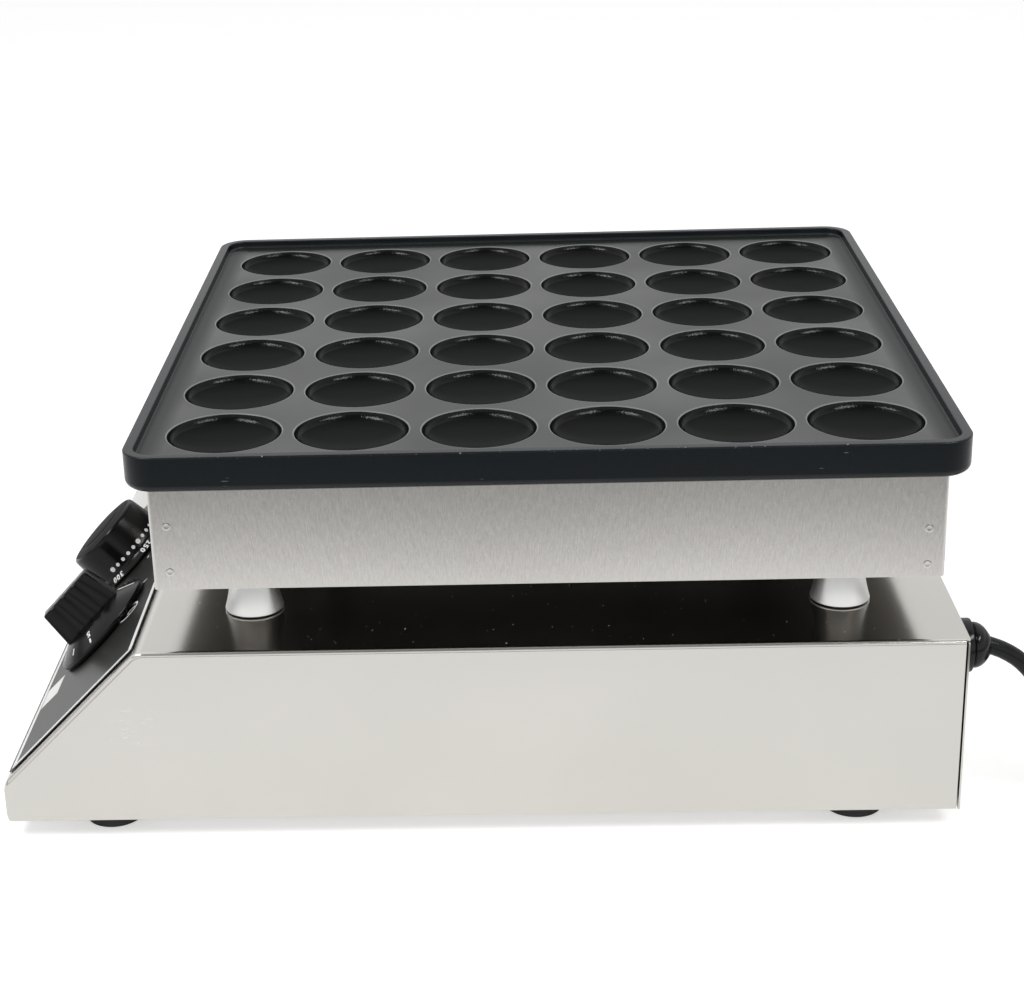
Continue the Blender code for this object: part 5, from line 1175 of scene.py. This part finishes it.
# Lamps: two snap-in neon lamps on the bare end of the panel, a green one for the mains and an amber one for
# the heat. Each is a flanged cap of clear coloured polycarbonate, glossy, and deeper in tone where it is
# thicker.
LAMP_RINGS = [  # radius, height from the panel
    (0.0056, -0.0200),
    (0.0056, 0.0003),
    (0.0072, 0.0003),
    (0.0075, 0.0005),
    (0.0075, 0.0013),
    (0.0074, 0.0016),
    (0.0071, 0.0017),
    (0.0054, 0.0017),
    (0.0052, 0.0019),
    (0.0052, 0.0045),
    (0.0050, 0.0051),
    (0.0044, 0.0057),
    (0.0032, 0.0062),
    (0.0016, 0.0065),
    (0, 0.0066),
]
first_lamp = turned_piece("first_lamp", LAMP_RINGS, 48)
smooth_faces(first_lamp)
for name, x, slot, dark, light in (
    ("power_lamp", -0.110, "green_lens", "#0f8a34", "#35c45c"),
    ("heating_lamp", -0.138, "amber_lens", "#c25a08", "#f0902a"),
):
    lens, *_ = mottled_finish(
        f"{slot}_polycarbonate",
        {"Roughness": 0.12, "IOR": 1.58, "Coat Weight": 0.3},
        (dark, light),
        grain=0.003,
        detail=1,
    )
    lamp = copy_piece(first_lamp, f"{name}_cap")
    lamp.data.materials.append(lens)
    on_panel(lamp, x)
    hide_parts(name)
    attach(lamp, "machine")
bpy.data.objects.remove(first_lamp)

# Inside the base: the terminal block and the thermostat's case, both moulded in white urea, which is creamy
# and has little gloss, and the leads in their glass sleeves.
moulding, *_ = mottled_finish(
    "white_urea_moulding", {"Roughness": 0.5}, ("#dcdbd5", "#efeee9"), grain=0.01, detail=3
)
for name in ("terminal_block", "thermostat_body"):
    nodes[name].data.materials[0] = moulding
# Woven glass sleeve: a dull, straw-tinted white.
sleeve, *_ = mottled_finish(
    "woven_glass_sleeve", {"Roughness": 0.75}, ("#b9b5a8", "#dfdccf"), grain=0.0008, detail=1
)
for name in ("lead_live", "lead_neutral", "lead_switched"):
    nodes[name].data.materials[0] = sleeve
nodes["gland_nut"].data.materials[0] = rubber

# Gland: a moulded nylon strain relief in the rear panel, with a thick flange and a domed cap that grips the
# lead. The nylon is near black, with a close gloss.
GLAND_PLACE = (0.138, REAR_Y, 0.0693)
GLAND_RINGS = [  # radius, distance out of the rear panel
    (0.0075, -0.015),
    (0.0075, -0.0002),
    (0.0106, -0.0002),
    (0.0108, 0.0003),
    (0.0108, 0.0042),
    (0.0106, 0.0047),
    (0.0100, 0.0050),
    (0.0090, 0.0051),
    (0.0088, 0.0054),
    (0.0090, 0.0057),
    (0.0092, 0.0063),
    (0.0090, 0.0075),
    (0.0084, 0.0088),
    (0.0074, 0.0101),
    (0.0061, 0.0112),
    (0.0052, 0.0118),
    (0.0048, 0.0121),
    (0.0045, 0.0123),
    (0.0041, 0.0121),
    (0.0041, 0.0095),
]
nylon, *_ = mottled_finish(
    "moulded_black_nylon",
    {"Specular IOR Level": 0.3},
    ("#070808", "#0f1011"),
    grain=0.005,
    detail=3,
    roughness=(0.12, 0.22),
)
gland = turned_piece("gland_body", GLAND_RINGS, 64)
smooth_faces(gland)
gland.matrix_world = Matrix.Translation(GLAND_PLACE) @ Matrix.Rotation(-pi / 2, 4, "X")
bpy.ops.object.transform_apply()
gland.data.materials.append(nylon)
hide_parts("cord_gland")
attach(gland, "machine")

# Free lead: a round rubber-sheathed mains lead, 7 mm thick. It leaves the gland, falls to the table, and
# the rest of it is wound into a flat coil in two layers, tied, with its plug beside it.
CORD_R = 0.0035
LEAD_ROUTE = [
    (0.1380, 0.2018, 0.0697),
    (0.1380, 0.2083, 0.0672),
    (0.1380, 0.2143, 0.0636),
    (0.1380, 0.2239, 0.0535),
    (0.1380, 0.2330, 0.0425),
    (0.1380, 0.2430, 0.0306),
    (0.1380, 0.2529, 0.0189),
    (0.1380, 0.2630, 0.0100),
    (0.1380, 0.2742, 0.0053),
    (0.1380, 0.2860, 0.0043),
    (0.1380, 0.2950, 0.0043),
]
LEAD_STEP = 0.004
COIL_R = 0.050
COIL_PITCH = 0.0078
COIL_ENTRY_Y = 0.2953
COIL_X, COIL_Y, COIL_Z = 0.088, 0.3023, 0.0043
TURN_POINTS = 48
TURNS_IN, TURNS_OUT = 2.5, 2.25
PLUG_Z = 0.018
PLUG_RISE_RUN = 0.027
PLUG_RISE_STEPS = 12
PLUG_STRAIGHT = 0.0097


def smooth_line(points, spacing):
    """Points close together on a smooth curve through a route's own points."""
    route = [Vector(p) for p in points]
    steps = [(b - a).length for a, b in zip(route, route[1:])]
    slopes = [(b - a) / d for a, b, d in zip(route, route[1:], steps)]
    ways = [slopes[0]]
    for i in range(1, len(route) - 1):
        ways.append((slopes[i - 1] * steps[i] + slopes[i] * steps[i - 1]) / (steps[i - 1] + steps[i]))
    ways.append(slopes[-1])
    line = []
    for i, length in enumerate(steps):
        count = ceil(length / spacing)
        for k in range(count):
            t = k / count
            a = route[i] * (2 * t**3 - 3 * t**2 + 1) + route[i + 1] * (3 * t**2 - 2 * t**3)
            line.append(a + (ways[i] * (t**3 - 2 * t**2 + t) + ways[i + 1] * (t**3 - t**2)) * length)
    return line + [route[-1]]


def coil_line():
    """The coil's middle line: inwards on the table, up a layer, outwards again, and up to the plug."""
    inner = COIL_R - TURNS_IN * COIL_PITCH
    spiral = []  # radius, turn, height
    for i in range(int(TURNS_IN * TURN_POINTS)):
        spiral.append((COIL_R - COIL_PITCH * i / TURN_POINTS, i / TURN_POINTS, 0))
    half = TURN_POINTS // 2
    for i in range(half):
        part = pi * i / half
        height = COIL_PITCH * (1 - cos(part)) / 2
        spiral.append((inner - COIL_PITCH / 4 * sin(part) ** 2, TURNS_IN + i / TURN_POINTS, height))
    for i in range(int(TURNS_OUT * TURN_POINTS) + 1):
        spiral.append((inner + COIL_PITCH * i / TURN_POINTS, TURNS_IN + 0.5 + i / TURN_POINTS, COIL_PITCH))
    line = [Vector((COIL_X + r * cos(tau * t), COIL_Y + r * sin(tau * t), COIL_Z + z)) for r, t, z in spiral]
    x, y, z = line[-1]
    for i in range(1, PLUG_RISE_STEPS + 1):
        share = i / PLUG_RISE_STEPS
        line.append(Vector((x - PLUG_RISE_RUN * share, y, z + (PLUG_Z - z) * (1 - cos(pi * share)) / 2)))
    line.append(line[-1] - Vector((PLUG_STRAIGHT, 0, 0)))
    return line


cord_line = smooth_line(LEAD_ROUTE, LEAD_STEP)[:-1]
cord_line += [Vector((COIL_X + COIL_R, COIL_ENTRY_Y, COIL_Z))] + coil_line()
curve = bpy.data.curves.new("supply_cord", "CURVE")
curve.dimensions = "3D"
curve.bevel_depth = CORD_R
curve.bevel_resolution = 6
curve.use_fill_caps = True
spline = curve.splines.new("POLY")
spline.points.add(len(cord_line) - 1)
spline.points.foreach_set("co", [c for p in cord_line for c in (*p, 1)])
spline.use_smooth = True
cord = bpy.data.objects.new("supply_cord", curve)
bpy.context.scene.collection.objects.link(cord)
# Extruded rubber sheath: black with a soft sheen, clouded by the talc it was made with.
sheath, *_ = mottled_finish(
    "extruded_rubber_sheath",
    {"Specular IOR Level": 0.25},
    ("#080909", "#111212"),
    grain=0.008,
    detail=5,
    roughness=(0.18, 0.30),
)
cord.data.materials.append(sheath)
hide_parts("cord_lead", "cord_coil")
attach(cord, "machine")
nodes["supply_lead"].data.materials[0] = sheath
nodes["cord_tie"].data.materials[0] = rubber

# Plug: moulded on to the lead from the same rubber, with a ribbed neck and a round body. Its two brass pins
# are nickel-plated, a warm grey metal that use has rubbed a little dull.
PLUG_RINGS = [  # radius, distance from its back
    (0.0038, 0.0030),
    (0.0038, 0),
    (0.0046, 0),
    (0.0048, 0.0002),
    (0.0051, 0.0050),
    (0.0045, 0.0054),
    (0.0045, 0.0064),
    (0.0052, 0.0068),
    (0.0053, 0.0084),
    (0.0047, 0.0088),
    (0.0047, 0.0098),
    (0.0055, 0.0102),
    (0.0056, 0.0120),
    (0.0066, 0.0130),
    (0.0090, 0.0150),
    (0.0106, 0.0168),
    (0.0118, 0.0190),
    (0.0130, 0.0250),
    (0.0140, 0.0330),
    (0.0158, 0.0340),
    (0.0174, 0.0348),
    (0.0180, 0.0360),
    (0.0180, 0.0455),
    (0.0178, 0.0460),
    (0.0172, 0.0463),
]
PIN_RINGS = [  # radius, distance from the plug's face
    (0.0024, -0.003),
    (0.0024, 0.0172),
    (0.0022, 0.0182),
    (0.0017, 0.0188),
    (0.0010, 0.0190),
    (0, 0.0190),
]
PIN_SPACING = 0.019
PLUG_L = 0.0463
LEAD_IN_PLUG = 0.0027
plug_back = cord_line[-1] + Vector((LEAD_IN_PLUG, 0, 0))
facing = Matrix.Rotation(-pi / 2, 4, "Y")
plug = turned_piece("plug_moulding", PLUG_RINGS, 64)
smooth_faces(plug)
plug.matrix_world = Matrix.Translation(plug_back) @ facing
bpy.ops.object.transform_apply()
plug.data.materials.append(sheath)
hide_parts("plug_body")
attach(plug, "machine")
nickel, *_ = mottled_finish(
    "nickel_plated_brass",
    {"Metallic": 1.0},
    ("#c9c5bb", "#dedbd2"),
    grain=0.002,
    detail=4,
    roughness=(0.18, 0.32),
)
first_pin = turned_piece("first_pin", PIN_RINGS, 32)
smooth_faces(first_pin)
first_pin.data.materials.append(nickel)
for number, side in enumerate((-1, 1), 1):
    pin = copy_piece(first_pin, f"plug_pin_metal_{number}")
    pin.matrix_world = Matrix.Translation(plug_back + Vector((-PLUG_L, side * PIN_SPACING / 2, 0))) @ facing
    bpy.ops.object.transform_apply()
    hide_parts(f"plug_pin_{number}")
    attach(pin, "machine")
bpy.data.objects.remove(first_pin)

# Studio: a white sheet on the floor and a white sky, with two broad soft lamps. The metal mirrors a floor
# that is white near by, dark from 0.7 to 0.95 m off, as a room round a lit table is, and light again beyond.
# Past the machine's two ends it stays light for longer.
FLOOR_REACH = 2.0
ENDS_LATER = 0.3
FLOOR_LEVELS = [  # metres from the middle, brightness in the metal
    (0.36, 1),
    (0.39, 0.84),
    (0.43, 0.68),
    (0.46, 0.56),
    (0.49, 0.48),
    (0.54, 0.40),
    (0.64, 0.18),
    (0.74, 0.1),
    (0.95, 0.1),
    (1.15, 0.8),
]
bpy.ops.object.select_all(action="DESELECT")
bpy.ops.mesh.primitive_plane_add(size=30)
floor = bpy.context.object
floor.name = "studio_floor"
paper, tree, shader = new_finish("white_paper_floor", {"Roughness": 0.9, "Base Color": tone("#dcdcdc")})
spot = add_node(tree, "ShaderNodeTexCoord").outputs["Object"]
away = add_node(tree, "ShaderNodeVectorMath", {"operation": "LENGTH"}, {0: spot})
path = add_node(tree, "ShaderNodeLightPath")
place = add_node(tree, "ShaderNodeSeparateXYZ", {}, {"Vector": spot})
aside = add_node(tree, "ShaderNodeMath", {"operation": "ABSOLUTE"}, {0: place.outputs["Y"]})
reach = add_node(
    tree,
    "ShaderNodeMath",
    {"operation": "MULTIPLY_ADD"},
    {0: aside.outputs[0], 1: -ENDS_LATER, 2: away.outputs["Value"]},
)
near = add_node(tree, "ShaderNodeMapRange", {}, {"Value": reach.outputs[0], "From Max": FLOOR_REACH})
falls = add_node(tree, "ShaderNodeFloatCurve", {}, {"Value": near.outputs[0]})
curve = falls.mapping.curves[0]
curve.points[0].location = (0, 1)
curve.points[1].location = (1, 0.9)
for distance, brightness in FLOOR_LEVELS:
    curve.points.new(distance / FLOOR_REACH, brightness)
falls.mapping.update()
white = add_node(tree, "ShaderNodeEmission", {}, {"Color": (1, 1, 1, 1), "Strength": falls.outputs[0]})
lift = add_node(
    tree, "ShaderNodeMapRange", {}, {"Value": path.outputs["Is Camera Ray"], "To Min": 0.22, "To Max": 0.50}
)
toned = add_node(
    tree, "ShaderNodeMath", {"operation": "SUBTRACT"}, {0: 1.0, 1: path.outputs["Is Diffuse Ray"]}
)
lift = add_node(tree, "ShaderNodeMath", {"operation": "MULTIPLY"}, {0: lift.outputs[0], 1: toned.outputs[0]})
tree.links.new(lift.outputs[0], shader.inputs["Emission Strength"])
shader.inputs["Emission Color"].default_value = (1, 1, 1, 1)
far_off = add_node(
    tree, "ShaderNodeMapRange", {}, {"Value": away.outputs["Value"], "From Min": 0.25, "From Max": 0.34}
)
mirrored = add_node(
    tree,
    "ShaderNodeMath",
    {"operation": "MULTIPLY"},
    {0: path.outputs["Is Glossy Ray"], 1: far_off.outputs[0]},
)
surface = add_node(
    tree, "ShaderNodeMixShader", {}, {0: mirrored.outputs[0], 1: shader.outputs[0], 2: white.outputs[0]}
)
tree.links.new(surface.outputs[0], tree.nodes["Material Output"].inputs["Surface"])
floor.data.materials.append(paper)

# The sky is white for the camera. What it lights and what the metal mirrors is greyer low down behind the
# machine. The metal also mirrors a dim ceiling on the camera's side.
world = bpy.context.scene.world or bpy.data.worlds.new("studio")
bpy.context.scene.world = world
world.use_nodes = True
tree = world.node_tree
sky = tree.nodes["Background"]
sky.inputs["Color"].default_value = (1, 1, 1, 1)
path = add_node(tree, "ShaderNodeLightPath")
way = add_node(tree, "ShaderNodeTexCoord").outputs["Generated"]
up = add_node(tree, "ShaderNodeSeparateXYZ", {}, {"Vector": way})
low_down = add_node(
    tree,
    "ShaderNodeMapRange",
    {},
    {"Value": up.outputs["X"], "From Min": -0.3, "From Max": 0.6, "To Min": 0.2, "To Max": 1.0},
)
SKY_LEVELS = ((0.33, 0.97), (0.42, 0.82), (0.55, 0.82), (0.7, 1))  # how steeply up, brightness
overhead = add_node(tree, "ShaderNodeFloatCurve", {}, {"Value": up.outputs["Z"]})
curve = overhead.mapping.curves[0]
curve.points[0].location = (0, 0.97)
curve.points[1].location = (1, 1)
for steep, brightness in SKY_LEVELS:
    curve.points.new(steep, brightness)
overhead.mapping.update()
sheen = add_node(
    tree,
    "ShaderNodeMapRange",
    {"interpolation_type": "SMOOTHSTEP"},
    {
        "Value": up.outputs["Z"],
        "From Min": 0.08,
        "From Max": 0.24,
        "To Min": low_down.outputs[0],
        "To Max": overhead.outputs[0],
    },
)
this_side = add_node(
    tree, "ShaderNodeMapRange", {}, {"Value": up.outputs["X"], "From Min": -0.1, "From Max": 0.25}
)
high_up = add_node(
    tree, "ShaderNodeMapRange", {}, {"Value": up.outputs["Z"], "From Min": 0.5, "From Max": 0.6}
)
ceiling = add_node(
    tree, "ShaderNodeMath", {"operation": "MULTIPLY"}, {0: this_side.outputs[0], 1: high_up.outputs[0]}
)
ceiling = add_node(
    tree,
    "ShaderNodeMath",
    {"operation": "MULTIPLY"},
    {0: ceiling.outputs[0], 1: path.outputs["Is Glossy Ray"]},
)
dimmed = add_node(tree, "ShaderNodeMapRange", {}, {"Value": ceiling.outputs[0], "To Min": 1.0, "To Max": 0.2})
sheen = add_node(
    tree, "ShaderNodeMath", {"operation": "MULTIPLY"}, {0: sheen.outputs[0], 1: dimmed.outputs[0]}
)
soft = add_node(
    tree, "ShaderNodeMapRange", {}, {"Value": path.outputs["Is Diffuse Ray"], "To Min": 1.0, "To Max": 0.6}
)
dim = add_node(tree, "ShaderNodeMath", {"operation": "MULTIPLY"}, {0: sheen.outputs[0], 1: soft.outputs[0]})
strength = add_node(
    tree, "ShaderNodeMath", {"operation": "MAXIMUM"}, {0: dim.outputs[0], 1: path.outputs["Is Camera Ray"]}
)
tree.links.new(strength.outputs[0], sky.inputs["Strength"])

for name, place, size, power in (
    ("key_lamp", (0.62, -0.95, 1.45), (0.9, 0.24), 12),
    ("fill_lamp", (0.9, 0.9, 1.3), (0.9, 0.24), 10),
):
    bpy.ops.object.light_add(type="AREA", location=place)
    lamp = bpy.context.object
    lamp.name = name
    lamp.data.shape = "RECTANGLE"
    lamp.data.size, lamp.data.size_y = size
    lamp.data.energy = power
    lamp.rotation_euler = (Vector((0, 0, 0.1)) - Vector(place)).to_track_quat("-Z", "Y").to_euler()

bpy.context.scene.view_settings.view_transform = "Standard"
